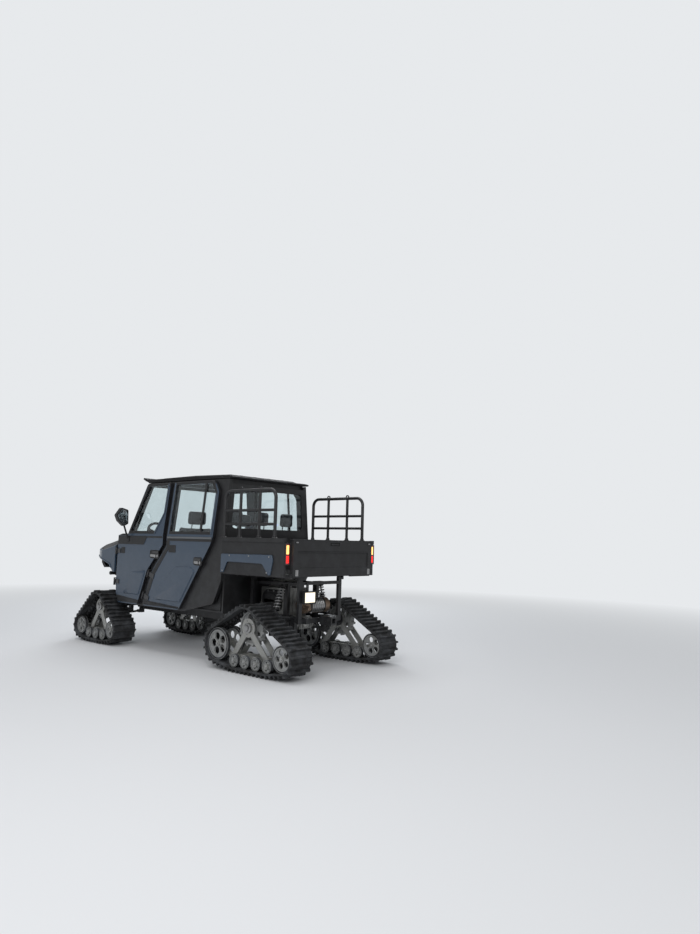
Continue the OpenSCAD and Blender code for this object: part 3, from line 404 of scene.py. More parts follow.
def piece(name: str, shape: Shape, finish: str, body: str, bevel: float = 0.0,
          angle: float = 35.0, segments: int = 2, side: Side = Side.LEFT) -> bpy.types.Object:
    """Makes an object of a shape and lets it ride.

    Args:
        name: the piece's name.
        shape: its vertices and faces.
        finish: the name of its material.
        body: the CAD body that it moves with.
        bevel: width of its rounded edges, in metres.
        angle: the least turn of an edge that stays sharp.
        segments: pieces in each rounded edge.
        side: where it is; the shape of a right piece is mirrored.

    Returns:
        The new object.
    """
    mesh = (mirrored(shape) if side is Side.RIGHT else shape).mesh(name)
    shade(mesh, angle)
    obj = linked(name, mesh)
    mesh.materials.append(FINISH[finish])
    if bevel:
        round_edges(obj, bevel, segments)
    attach(obj, body)
    LOG.info("piece %s: %d faces on %s", name, len(mesh.polygons), body)
    return obj


def round_edges(obj: bpy.types.Object, width: float, segments: int = 2, angle: float = 32.0) -> None:
    """Adds a bevel to a piece's sharp edges, with normals that keep its flats flat."""
    bevel = obj.modifiers.new("rounded", "BEVEL")
    bevel.width = width
    bevel.segments = segments
    bevel.limit_method = "ANGLE"
    bevel.angle_limit = math.radians(angle)
    bevel.harden_normals = True


# Shader groups


@dataclass
class Graph:
    """Short ways to put nodes into a tree; a value is a number, a colour or another node's output."""

    tree: bpy.types.NodeTree

    def fill(self, node: bpy.types.Node, values: dict[str | int, object]) -> None:
        """Gives a node's inputs their values."""
        for key, value in values.items():
            if isinstance(value, Socket):
                self.tree.links.new(value, node.inputs[key])
            else:
                node.inputs[key].default_value = (*value, 1) if isinstance(value, tuple) else value

    def node(self, kind: str, values: dict[str | int, object] | None = None,
             **settings: object) -> bpy.types.Node:
        """A new node with its settings and its inputs' values."""
        made = self.tree.nodes.new(kind)
        for key, setting in settings.items():
            setattr(made, key, setting)
        self.fill(made, values or {})
        return made

    def math(self, operation: str, a: object, b: object = 0.0, clamp: bool = False) -> Socket:
        """The result of one sum."""
        return self.node("ShaderNodeMath", {0: a, 1: b}, operation=operation, use_clamp=clamp).outputs[0]

    def product(self, *factors: object) -> Socket:
        """The product of several values, kept between 0 and 1."""
        total = factors[0]
        for k, factor in enumerate(factors[1:]):
            total = self.math("MULTIPLY", total, factor, k == len(factors) - 2)
        return total

    def span(self, value: Socket, low: float, high: float, to_low: float = 0.0,
             to_high: float = 1.0) -> Socket:
        """A value brought from one span to another, without overshooting."""
        made = self.node("ShaderNodeMapRange", {
            "Value": value, "From Min": low, "From Max": high, "To Min": to_low, "To Max": to_high})
        return made.outputs["Result"]

    def noise(self, scale: object, detail: float = 3.0, roughness: float = 0.5) -> Socket:
        """Noise over the object."""
        made = self.node("ShaderNodeTexNoise", {
            "Vector": self.place(), "Scale": scale, "Detail": detail, "Roughness": roughness})
        return made.outputs["Fac"]

    def blend(self, mask: Socket, a: object, b: object) -> Socket:
        """A colour between a and b."""
        return self.node("ShaderNodeMix", {"Factor": mask, 6: a, 7: b}, data_type="RGBA").outputs[2]

    def bump(self, height: Socket, strength: float, distance: float = 0.001) -> Socket:
        """A normal tilted by a height."""
        made = self.node("ShaderNodeBump", {"Strength": strength, "Distance": distance, "Height": height})
        return made.outputs["Normal"]

    def place(self, output: str = "Object") -> Socket:
        """A point's place in its object, or its normal there."""
        return self.node("ShaderNodeTexCoord").outputs[output]

    def normal(self) -> Socket:
        """The true normal in the world."""
        return self.node("ShaderNodeNewGeometry").outputs["Normal"]

    def part(self, vector: Socket, axis: str) -> Socket:
        """One coordinate of a vector."""
        return self.node("ShaderNodeSeparateXYZ", {0: vector}).outputs[axis]

    def group(self, tree: bpy.types.NodeTree, **values: float) -> bpy.types.bpy_prop_collection:
        """The outputs of a group placed in the tree."""
        return self.node("ShaderNodeGroup", values, node_tree=tree).outputs


def new_group(name: str, inputs: dict[str, float], outputs: list[str]) -> tuple[Graph, object, object]:
    """An empty shader group.

    Args:
        name: its name.
        inputs: names and defaults of its number inputs.
        outputs: names of its number outputs.

    Returns:
        Its graph, what it is given and what it gives back.
    """
    tree = bpy.data.node_groups.new(name, "ShaderNodeTree")
    for key, value in inputs.items():
        socket = tree.interface.new_socket(name=key, in_out="INPUT", socket_type="NodeSocketFloat")
        socket.default_value = value
    for key in outputs:
        tree.interface.new_socket(name=key, in_out="OUTPUT", socket_type="NodeSocketFloat")
    g = Graph(tree)
    return g, g.node("NodeGroupInput").outputs, g.node("NodeGroupOutput")


@dataclass
class SurfaceEffects:
    """The shader groups that several finishes use, each made once."""

    made: dict[str, bpy.types.NodeTree] = field(default_factory=dict)
    wear_radius: float = 0.004

    def __getitem__(self, key: str) -> bpy.types.NodeTree:
        """The group of that name."""
        return self.made[key]

    def build(self) -> None:
        """Makes the groups."""
        for make in (self.edge_wear, self.surface_grain, self.settled_dust, self.outer_skin):
            tree = make().tree
            self.made[tree.name] = tree

    def edge_wear(self) -> Graph:
        """Mask of rubbed edges: where the rounded normal leaves the true one, broken up by noise."""
        g, given, back = new_group("edge_wear", {"Amount": 0.5, "Scale": 60.0}, ["Mask"])
        rounded = g.node("ShaderNodeBevel", {"Radius": self.wear_radius}, samples=4).outputs[0]
        turn = g.node("ShaderNodeVectorMath", {0: rounded, 1: g.normal()}, operation="DOT_PRODUCT")
        edge = g.span(turn.outputs["Value"], 0.995, 0.9)
        broken = g.span(g.noise(given["Scale"], 4.0), 0.42, 0.6)
        g.fill(back, {"Mask": g.product(edge, broken, given["Amount"])})
        return g

    def surface_grain(self) -> Graph:
        """Fine height for a bump and a slow change of tone."""
        g, given, back = new_group("surface_grain", {"Scale": 400.0, "Depth": 0.3}, ["Height", "Tone"])
        fine = g.node("ShaderNodeTexVoronoi", {"Vector": g.place(), "Scale": given["Scale"]}, feature="F1")
        slow, mid = g.noise(3.0, 5.0, 0.6), g.noise(34.0)
        height = g.math("MULTIPLY", fine.outputs["Distance"], given["Depth"])
        g.fill(back, {"Height": g.math("ADD", height, g.math("MULTIPLY", mid, 0.12)),
                      "Tone": g.math("ADD", g.math("MULTIPLY", slow, 0.7), g.math("MULTIPLY", mid, 0.3))})
        return g

    def settled_dust(self) -> Graph:
        """Mask of dry frost and dust: on faces that look up, and thicker low down."""
        g, given, back = new_group("settled_dust", {"Amount": 0.4}, ["Mask"])
        up = g.span(g.part(g.normal(), "Z"), 0.3, 1.0, 0.15, 0.8)
        low = g.span(g.part(g.place(), "Z"), 1.3, 0.1, 0.1, 0.9)
        patches = g.span(g.noise(9.0, 6.0, 0.65), 0.42, 0.7)
        g.fill(back, {"Mask": g.product(g.math("ADD", up, low), patches, given["Amount"])})
        return g

    def outer_skin(self) -> Graph:
        """Mask of a door's outer face below the windows; edges, hinges and handles stay out of it."""
        g, _, back = new_group("outer_skin", {}, ["Mask"])
        side = g.part(g.place(), "Y")
        outwards = g.math("MULTIPLY", g.part(g.place("Normal"), "Y"), g.math("SIGN", side))
        facing = g.math("GREATER_THAN", outwards, 0.5)
        flush = g.math("LESS_THAN", g.math("ABSOLUTE", side), (DOOR_OUT + 1.5) / 1000)
        below = g.math("LESS_THAN", g.part(g.place(), "Z"), (ROOF_Z - 60) / 1000)
        g.fill(back, {"Mask": g.product(facing, flush, below)})
        return g


EFFECTS = SurfaceEffects()


# Finishes

FROST = (0.26, 0.28, 0.31)
DOOR_EDGE = (0.012, 0.012, 0.014)
TONES = (0.3, 0.7)


def new_material(name: str) -> tuple[bpy.types.Material, Graph, bpy.types.Node]:
    """A material with its graph and its shader."""
    mat = bpy.data.materials.new(name)
    mat.use_nodes = True
    return mat, Graph(mat.node_tree), mat.node_tree.nodes["Principled BSDF"]


def scaled(colour: Colour, factor: float) -> Colour:
    """A colour made lighter or darker, at most full."""
    return tuple(min(1.0, c * factor) for c in colour)


@dataclass(frozen=True)
class Coated:
    """Paint, moulded plastic or metal: a base tone with grain, rubbed edges and dust."""

    name: str
    base: Colour
    dark: Colour
    roughness: float = 0.5
    metallic: float = 0.0
    grain: float = 400.0
    depth: float = 0.3
    bump: float = 0.15
    worn: Colour = (0.35, 0.36, 0.37)
    wear: float = 0.4
    dust: float = 0.25
    coat: float = 0.0
    specular: float = 0.5
    skin: bool = False

    def build(self) -> bpy.types.Material:
        """Makes the material; with skin set, only a door's outer face shows the base tone."""
        mat, g, shader = new_material(self.name)
        grain = g.group(EFFECTS["surface_grain"], Scale=self.grain, Depth=self.depth)
        wear = g.group(EFFECTS["edge_wear"], Amount=self.wear, Scale=70.0)["Mask"]
        dust = g.group(EFFECTS["settled_dust"], Amount=self.dust)["Mask"]
        colour = g.blend(g.span(grain["Tone"], *TONES), self.dark, self.base)
        colour = g.blend(dust, g.blend(wear, colour, self.worn), FROST)
        if self.skin:
            colour = g.blend(g.group(EFFECTS["outer_skin"])["Mask"], DOOR_EDGE, colour)
        rough = g.span(grain["Tone"], *TONES, self.roughness - 0.07, self.roughness + 0.07)
        g.fill(shader, {
            "Base Color": colour, "Roughness": g.math("ADD", rough, g.math("MULTIPLY", dust, 0.35), True),
            "Normal": g.bump(grain["Height"], self.bump, 0.002), "Metallic": self.metallic,
            "Coat Weight": self.coat, "Coat Roughness": 0.12, "Specular IOR Level": self.specular})
        return mat


@dataclass(frozen=True)
class Glazing:
    """Tinted flat glass."""

    name: str
    tint: Colour

    def build(self) -> bpy.types.Material:
        """Makes the material; a faint smear varies its roughness."""
        mat, g, shader = new_material(self.name)
        smear = g.noise(6.0, 4.0)
        g.fill(shader, {
            "Transmission Weight": 1.0, "IOR": 1.45, "Roughness": g.span(smear, 0.4, 0.8, 0.0, 0.01),
            "Base Color": g.blend(g.span(smear, *TONES), self.tint, scaled(self.tint, 1.04))})
        return mat


@dataclass(frozen=True)
class Glowing:
    """A lit lens: a ribbed plastic cover over a light that is brightest in its middle."""

    name: str
    base: Colour
    light: Colour
    strength: float
    ribs: float = 90.0

    def build(self) -> bpy.types.Material:
        """Makes the material."""
        mat, g, shader = new_material(self.name)
        bands = {"Vector": g.place(), "Scale": self.ribs}
        wave = g.node("ShaderNodeTexWave", bands, bands_direction="Z").outputs["Fac"]
        lit = g.span(wave, 0.0, 1.0)
        g.fill(shader, {"Emission Color": g.blend(lit, scaled(self.light, 0.55), self.light),
                        "Base Color": g.blend(lit, self.base, scaled(self.base, 1.2)),
                        "Emission Strength": self.strength, "Roughness": 0.18, "Normal": g.bump(wave, 0.4)})
        return mat


@dataclass(frozen=True)
class Upholstery:
    """Seat vinyl with a leather grain."""

    name: str
    base: Colour
    dark: Colour
    pores: float = 260.0

    def build(self) -> bpy.types.Material:
        """Makes the material."""
        mat, g, shader = new_material(self.name)
        pores = {"Vector": g.place(), "Scale": self.pores}
        cells = g.node("ShaderNodeTexVoronoi", pores, feature="DISTANCE_TO_EDGE")
        grain = g.span(cells.outputs["Distance"], 0.0, 0.35)
        g.fill(shader, {"Base Color": g.blend(g.span(g.noise(7.0, 5.0), 0.35, 0.65), self.dark, self.base),
                        "Roughness": g.span(grain, 0.0, 1.0, 0.62, 0.42), "Normal": g.bump(grain, 0.35),
                        "Sheen Weight": 0.15})
        return mat


@dataclass
class Finishes:
    """All materials of the vehicle, made once."""

    made: dict[str, bpy.types.Material] = field(default_factory=dict)

    def build(self) -> None:
        """Makes every finish."""
        paint = Coated("body_paint", (0.034, 0.058, 0.094), (0.03, 0.052, 0.085), 0.36, 0.0, 900, 0.05, 0.04,
                       (0.12, 0.15, 0.19), 0.3, 0.1, 0.35)
        for finish in (
            paint,
            replace(paint, name="door_paint", skin=True),
            Coated("black_plastic", (0.013, 0.013, 0.014), (0.01, 0.01, 0.011), 0.5, 0.0, 420, 0.35, 0.2,
                   (0.05, 0.05, 0.055), 0.35, 0.08),
            Coated("sash_grey", (0.12, 0.13, 0.14), (0.1, 0.108, 0.116), 0.42, 0.0, 700, 0.1, 0.06,
                   (0.25, 0.25, 0.25), 0.3, 0.1),
            Coated("roof_plastic", (0.012, 0.012, 0.013), (0.01, 0.01, 0.011), 0.66, 0.0, 500, 0.3, 0.2,
                   (0.05, 0.05, 0.055), 0.3, 0.06, 0.0, 0.25),
            Coated("mirror_glass", (0.3, 0.32, 0.34), (0.27, 0.29, 0.31), 0.14, 1.0, 900, 0.0, 0.0,
                   (0.6, 0.6, 0.6), 0.1, 0.05),
            Coated("lamp_glass", (0.05, 0.055, 0.06), (0.04, 0.045, 0.05), 0.12, 0.0, 900, 0.0, 0.02,
                   (0.1, 0.1, 0.1), 0.2, 0.05, 0.6),
            Coated("tail_lens", (0.19, 0.006, 0.006), (0.15, 0.005, 0.005), 0.16, 0.0, 900, 0.0, 0.03,
                   (0.25, 0.05, 0.05), 0.2, 0.05, 0.6),
            Coated("gloss_black", (0.01, 0.01, 0.011), (0.0085, 0.0085, 0.0095), 0.42, 0.0, 700, 0.02, 0.02,
                   (0.05, 0.05, 0.055), 0.3, 0.03, 0.1),
            Coated("coated_steel", (0.014, 0.014, 0.015), (0.01, 0.01, 0.011), 0.42, 0.0, 520, 0.25, 0.15,
                   (0.14, 0.13, 0.12), 0.4, 0.1),
            Coated("box_liner", (0.017, 0.017, 0.018), (0.013, 0.013, 0.014), 0.62, 0.0, 240, 0.45, 0.3,
                   (0.07, 0.07, 0.07), 0.35, 0.12),
            Coated("belt_rubber", (0.014, 0.014, 0.0145), (0.009, 0.009, 0.0095), 0.72, 0.0, 320, 0.5, 0.4,
                   (0.045, 0.045, 0.048), 0.5, 0.2),
            Coated("cast_metal", (0.42, 0.42, 0.4), (0.34, 0.34, 0.32), 0.45, 0.7, 300, 0.35, 0.2,
                   (0.6, 0.59, 0.56), 0.5, 0.18),
            Coated("wheel_resin", (0.3, 0.305, 0.3), (0.24, 0.245, 0.24), 0.5, 0.0, 500, 0.2, 0.12,
                   (0.12, 0.12, 0.12), 0.4, 0.2),
            Coated("tyre_rubber", (0.02, 0.02, 0.021), (0.014, 0.014, 0.015), 0.7, 0.0, 420, 0.4, 0.25,
                   (0.07, 0.07, 0.07), 0.5, 0.25),
            Coated("machined_steel", (0.42, 0.42, 0.42), (0.33, 0.33, 0.33), 0.34, 0.9, 700, 0.12, 0.08,
                   (0.6, 0.6, 0.6), 0.4, 0.12),
            Coated("engine_metal", (0.36, 0.355, 0.34), (0.25, 0.25, 0.24), 0.46, 0.8, 260, 0.35, 0.25,
                   (0.5, 0.48, 0.45), 0.5, 0.2),
            Coated("heated_steel", (0.3, 0.22, 0.16), (0.2, 0.14, 0.1), 0.46, 0.85, 180, 0.3, 0.2,
                   (0.5, 0.42, 0.35), 0.5, 0.15),
            Coated("spring_steel", (0.5, 0.5, 0.5), (0.42, 0.42, 0.42), 0.32, 0.6, 900, 0.05, 0.05,
                   (0.6, 0.6, 0.6), 0.4, 0.08, 0.2),
            Glazing("window_glass", (0.8, 0.87, 0.88)),
            Glowing("tail_upper", (0.7, 0.25, 0.05), (1.0, 0.55, 0.16), 2.6, 60.0),
            Glowing("tail_red", (0.55, 0.01, 0.01), (1.0, 0.02, 0.015), 1.6, 60.0),
            Glowing("work_light", (0.6, 0.58, 0.5), (1.0, 0.88, 0.66), 1.5, 40.0),
            Glowing("head_light", (0.5, 0.53, 0.56), (0.8, 0.9, 1.0), 0.8, 50.0),
            Glowing("dash_light", (0.03, 0.05, 0.4), (0.05, 0.12, 1.0), 4.0, 120.0),
            Upholstery("seat_vinyl", (0.035, 0.036, 0.042), (0.022, 0.022, 0.027)),
        ):
            self.made[finish.name] = finish.build()
            LOG.info("finish %s", finish.name)

    def __getitem__(self, key: str) -> bpy.types.Material:
        """The material of that name."""
        return self.made[key]


FINISH = Finishes()


# Carried-over nodes


@dataclass
class CarriedNodes:
    """Puts finishes and rounded edges on the CAD nodes that stay."""

    finish_of: dict[str, str] = field(default_factory=lambda: {
        "body_paint": "fenders box_side_panels",
        "door_paint": both("front_door rear_door"),
        "black_plastic": "body_tub front_fascia dashboard " + both("mirror"),
        "gloss_black": "hood",
        "roof_plastic": "roof",
        "coated_steel": "frame skid_plate front_suspension rear_suspension cab_frame rear_wall front_bumper "
                        "side_racks work_lamp steering_rack",
        "box_liner": "cargo_box tailgate",
        "engine_metal": "engine_block",
        "heated_steel": "exhaust_muffler",
        "spring_steel": "shock_absorbers",
        "cast_metal": "rear_track_frames " + both("front_unit_frame knuckle"),
        "wheel_resin": "rear_track_wheels " + both("front_wheels"),
        "belt_rubber": "steering_wheel " + both("rear_belt front_belt"),
        "window_glass": "cab_glass " + both("front_door_glass rear_door_glass"),
        "seat_vinyl": "front_seat rear_seat",
        "tail_lens": "tail_lamps",
        "lamp_glass": "headlamps",
    })
    bevels: dict[float, str] = field(default_factory=lambda: {
        0.012: "roof " + both("mirror"),
        0.008: "dashboard",
        0.006: "hood tailgate engine_block",
        0.005: "cargo_box box_side_panels " + both("front_door rear_door"),
        0.004: "fenders front_fascia cab_frame work_lamp",
        0.003: "body_tub rear_wall frame skid_plate",
        0.002: "rear_track_frames front_bumper " + both("front_unit_frame"),
    })

    def dress(self, nodes: dict[str, bpy.types.Object]) -> None:
        """Gives every node its finish and, where it helps, rounded edges.

        Args:
            nodes: the CAD nodes by name.
        """
        for key, names in self.finish_of.items():
            for name in names.split():
                for slot in nodes[name].material_slots:
                    slot.material = FINISH[key]
        for width, names in self.bevels.items():
            for name in names.split():
                self.tidy_faces(nodes[name])
                round_edges(nodes[name], width)
        LOG.info("dressed %d nodes", len(nodes))

    def tidy_faces(self, obj: bpy.types.Object) -> None:
        """Joins a node's flat triangles into whole faces, so that its edges can be rounded."""
        weld = obj.modifiers.new("joined", "WELD")
        weld.merge_threshold = 0.00002
        flat = obj.modifiers.new("flattened", "DECIMATE")
        flat.decimate_type = "DISSOLVE"
        flat.angle_limit = math.radians(0.6)


# Track units


@dataclass
class TrackBelt:
    """A rubber belt with carcass, outside lugs and inside guide lugs."""

    name: str
    body: str
    axle_x: float
    side: Side
    x_rear: float
    x_front: float
    idler_r: float
    rollers: tuple[float, float]
    sprocket_r: float
    width: float = 310.0
    thickness: float = 20.0
    lug_h: float = 30.0
    lug_pitch: float = 62.0
    roller_r: float = 66.0
    idler_lift: float = 30.0
    ahead_r: float = 112.0
    ahead_lift: float = 30.0
    roller_count: int = 3

    def wheels(self) -> list[Corner]:
        """The unit's wheels, anticlockwise, about its axle."""
        base = self.lug_h + self.thickness
        return [(self.x_rear, base + self.idler_lift + self.idler_r, self.idler_r),
                (self.rollers[0], base + self.roller_r, self.roller_r),
                (self.rollers[1], base + self.roller_r, self.roller_r),
                (self.x_front, base + self.ahead_lift + self.ahead_r, self.ahead_r),
                (0.0, HUB_Z, self.sprocket_r)]

    def rolling(self) -> list[Corner]:
        """The wheels that have tyres and axle bolts: both idlers and the row of road wheels."""
        wheels = self.wheels()
        first, last = self.rollers
        places = [first + (last - first) * k / (self.roller_count - 1) for k in range(self.roller_count)]
        return [wheels[0], wheels[3]] + [(x, wheels[1][1], self.roller_r) for x in places]

    def at(self, p: Vector, y: float) -> Vector:
        """A loop point at a distance y from the belt's middle, in the row frame."""
        return row(self.axle_x + p.x, TRACK_Y + y, p.y)

    def carcass(self, shape: Shape, runs: list[Run]) -> None:
        """The band itself, with rounded shoulders and two shallow inner grooves."""
        half, top = self.width / 2, self.thickness
        right = [(26, 0.6), (30, 3.5), (70, 3.5), (74, 0.6), (half - 3, 0.6), (half, 4), (half, top - 5),
                 (half - 6, top)]
        section = right + [(0, top)] + [(-y, h) for y, h in reversed(right)]
        rings = []
        for run in runs:
            steps = 2 if run.radius == 0 else max(4, math.ceil(math.degrees(run.length / run.radius) / 5))
            for k in range(steps):
                ring = []
                for y, h in section:
                    p, _ = run.at(run.length * k / steps, h)
                    ring.append(self.at(p, y))
                rings.append(ring)
        shape.rings(rings, closed=True)

    def bar(self, shape: Shape, runs: list[Run], s: float, y0: float, y1: float, root: float, tip: float,
            base: float, top: float, end: float) -> None:
        """One lug across part of the belt.

        Args:
            shape: what takes it.
            runs: the belt's loop.
            s: its place along the loop.
            y0: one end.
            y1: the other end.
            root: its length along the loop at its foot.
            tip: its length at its top.
            base: lift of its foot.
            top: lift of its top.
            end: how much shorter its top is at each end.
        """
        foot, out = loop_at(runs, s, base)
        head, _ = loop_at(runs, s, top)
        along = Vector((-out.y, out.x))
        rings = []
        for y, full in ((y0, 0.35), (y0 + end, 1.0), (y1 - end, 1.0), (y1, 0.35)):
            high = foot + (head - foot) * full
            wide = root / 2 + (tip - root) / 2 * full
            rings.append([self.at(foot - along * root / 2, y), self.at(high - along * wide, y),
                          self.at(high + along * wide, y), self.at(foot + along * root / 2, y)])
        shape.rings(rings)

    def build(self) -> None:
        """Makes the belt in place of its CAD node.

        Each pitch has two outer lugs, a lower one between them and two guides on the inside.
        """
        shape = Shape()
        runs = loop_runs(self.wheels())
        total = sum(run.length for run in runs)
        count = round(total / self.lug_pitch)
        half = self.width / 2
        self.carcass(shape, runs)
        for k in range(count):
            s = (k + 0.5) * total / count
            low, high = self.thickness - 2, self.thickness + self.lug_h
            self.bar(shape, runs, s, -half + 1, -half + 96, 28, 16, low, high, 9)
            self.bar(shape, runs, s, half - 96, half - 1, 28, 16, low, high, 9)
            self.bar(shape, runs, s, -half + 84, half - 84, 26, 17, low, high - 7, 6)
            for y in (-43, 43):
                self.bar(shape, runs, s, y - 9, y + 9, 30, 16, 4, -30, 2)
        obj = piece(f"{self.name}_tread", shape, "belt_rubber", self.body, 0.0015, 30.0, 1,
                    self.side)
        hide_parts(self.name)


@dataclass
class TrackUnits:
    """The four belts and the fasteners of their frames."""

    bolt_off: float = 126.0
    hub_face: float = 75.5
    circle_r: float = 0.074

    def belts(self) -> list[TrackBelt]:
        """The belts with their units' sizes."""
        out = []
        for side in Side:
            out.append(TrackBelt(f"rear_belt_{side.word}", "chassis", 0.0, side, -550.0, 415.0, 132.0,
                                 (-340.0, 155.0), 195.0, ahead_r=165.0, ahead_lift=45.0, roller_count=4))
            out.append(TrackBelt(f"front_belt_{side.word}", f"front_track_{side.word}", WHEELBASE, side,
                                 -355.0, 355.0, 112.0, (-165.0, 165.0), 160.0))
        return out

    def fasteners(self, belt: TrackBelt) -> None:
        """Axle bolts, hub cap and the hub's bolt circle of one unit."""
        shape = Shape()
        for x, z, _ in belt.rolling():
            for way in (1, -1):
                shape.bolt(row(belt.axle_x + x, TRACK_Y + way * self.bolt_off, z), SIDEWAYS * way, 0.02)
        shape.lathe(row(belt.axle_x, TRACK_Y + self.hub_face, HUB_Z), SIDEWAYS,
                    [(0.052, 0.0), (0.05, 0.012), (0.034, 0.018), (0.03, 0.03), (0.012, 0.034)], 24)
        for spot in ring_points(row(belt.axle_x, TRACK_Y + 70, HUB_Z), AHEAD, UP, self.circle_r, 5):
            shape.bolt(spot, SIDEWAYS, 0.013)
        piece(f"{belt.name}_fasteners", shape, "machined_steel", belt.body, side=belt.side)

    def build(self) -> None:
        """Makes all of it."""
        for belt in self.belts():
            belt.build()
            self.fasteners(belt)
            WheelDetails().build(belt)


# Wheels and springs


@dataclass
class WheelDetails:
    """Rubber tyres on the road wheels and idlers, and the tensioner of each unit."""

    wheel_w: float = 40.0
    row_off: float = 100.0
    rod_off: float = 78.0

    def tyre(self, shape: Shape, x: float, y: float, z: float, r: float) -> None:
        """One tyre round a wheel's rim."""
        half = self.wheel_w / 2
        ring = [(r * 0.86, half + 0.8), (r - 5, half + 1.2), (r + 0.3, half - 4), (r + 0.3, 4 - half),
                (r - 5, -half - 1.2), (r * 0.86, -half - 0.8)]
        rings = []
        for k in range(40):
            a = FULL_TURN * k / 40
            rings.append([row(x + p * math.cos(a), y + h, z + p * math.sin(a)) for p, h in ring])
        shape.rings(rings, closed=True)

    def build(self, belt: TrackBelt) -> None:
        """Makes one unit's tyres, and the threaded tensioner from its frame to the rear idler's axle."""
        tyres, steel = Shape(), Shape()
        for x, z, r in belt.rolling():
            for way in (-1, 1):
                self.tyre(tyres, belt.axle_x + x, TRACK_Y + way * self.row_off, z, r)
        x, z, _ = belt.wheels()[0]
        start = row(belt.axle_x + x * 0.62, TRACK_Y + self.rod_off, z - 6)
        way = row(belt.axle_x + x + 32, TRACK_Y + self.rod_off, z) - start
        rod = [(0.013, 0.0), (0.013, 0.03), (0.007, 0.032), (0.007, way.length - 0.012)]
        nut = [(0.012, 0.0), (0.014, 0.003), (0.014, 0.009), (0.012, 0.012)]
        steel.lathe(start, way, rod, 16)
        for share in (0.45, 0.55):
            steel.lathe(start + way * share, way, nut, 6)
        piece(f"{belt.name}_tyres", tyres, "tyre_rubber", belt.body, side=belt.side)
        piece(f"{belt.name}_tensioner", steel, "machined_steel", belt.body, 0.0, 30.0,
              side=belt.side)


@dataclass
class Springs:
    """Coil springs over dampers at the four corners, in place of the plain CAD ones."""

    foot: tuple[float, float] = (405.0, 572.0)
    head: tuple[float, float] = (292.0, 886.0)
    turns: float = 7.0
    seats: tuple[float, float] = (0.068, 0.294)
    coil_r: float = 0.0335
    wire_r: float = 0.0058

    def corner(self, x: float, damper: Shape, coil: Shape) -> None:
        """One damper and its spring over the axle at x."""
        low, high = row(x, *self.foot), row(x, *self.head)
        way = (high - low).normalized()
        damper.lathe(low, way, [(0.016, 0.0), (0.016, 0.03), (0.01, 0.034), (0.01, 0.052), (0.037, 0.054),
                                (0.04, 0.057), (0.04, 0.064), (0.025, 0.067), (0.025, 0.2), (0.027, 0.202),
                                (0.027, 0.212), (0.009, 0.214), (0.009, 0.296), (0.037, 0.298), (0.04, 0.301),
                                (0.04, 0.308), (0.015, 0.312), (0.015, 0.332)], 28)
        for end in (low + way * 0.012, high - way * 0.012):
            damper.bolt(end + Vector((0.015, 0, 0)), AHEAD, 0.018)
        up = way.cross(AHEAD)
        points = []
        count = int(self.turns * 24)
        for k in range(count + 1):
            a = FULL_TURN * self.turns * k / count
            rise = self.seats[0] + (self.seats[1] - self.seats[0]) * k / count
            points.append(low + way * rise + self.coil_r * (math.cos(a) * AHEAD + math.sin(a) * up))
        coil.tube(points, self.wire_r, 8)

    def build(self) -> None:
        """Makes all four corners."""
        for side in Side:
            damper, coil = Shape(), Shape()
            for x in (0.0, WHEELBASE):
                self.corner(x, damper, coil)
            for made in (piece(f"dampers_{side.word}", damper, "coated_steel", "chassis", side=side),
                         piece(f"springs_{side.word}", coil, "spring_steel", "chassis", 0.0, 50.0,
                               side=side)):
                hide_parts("shock_absorbers")


# Engine, transaxle and exhaust


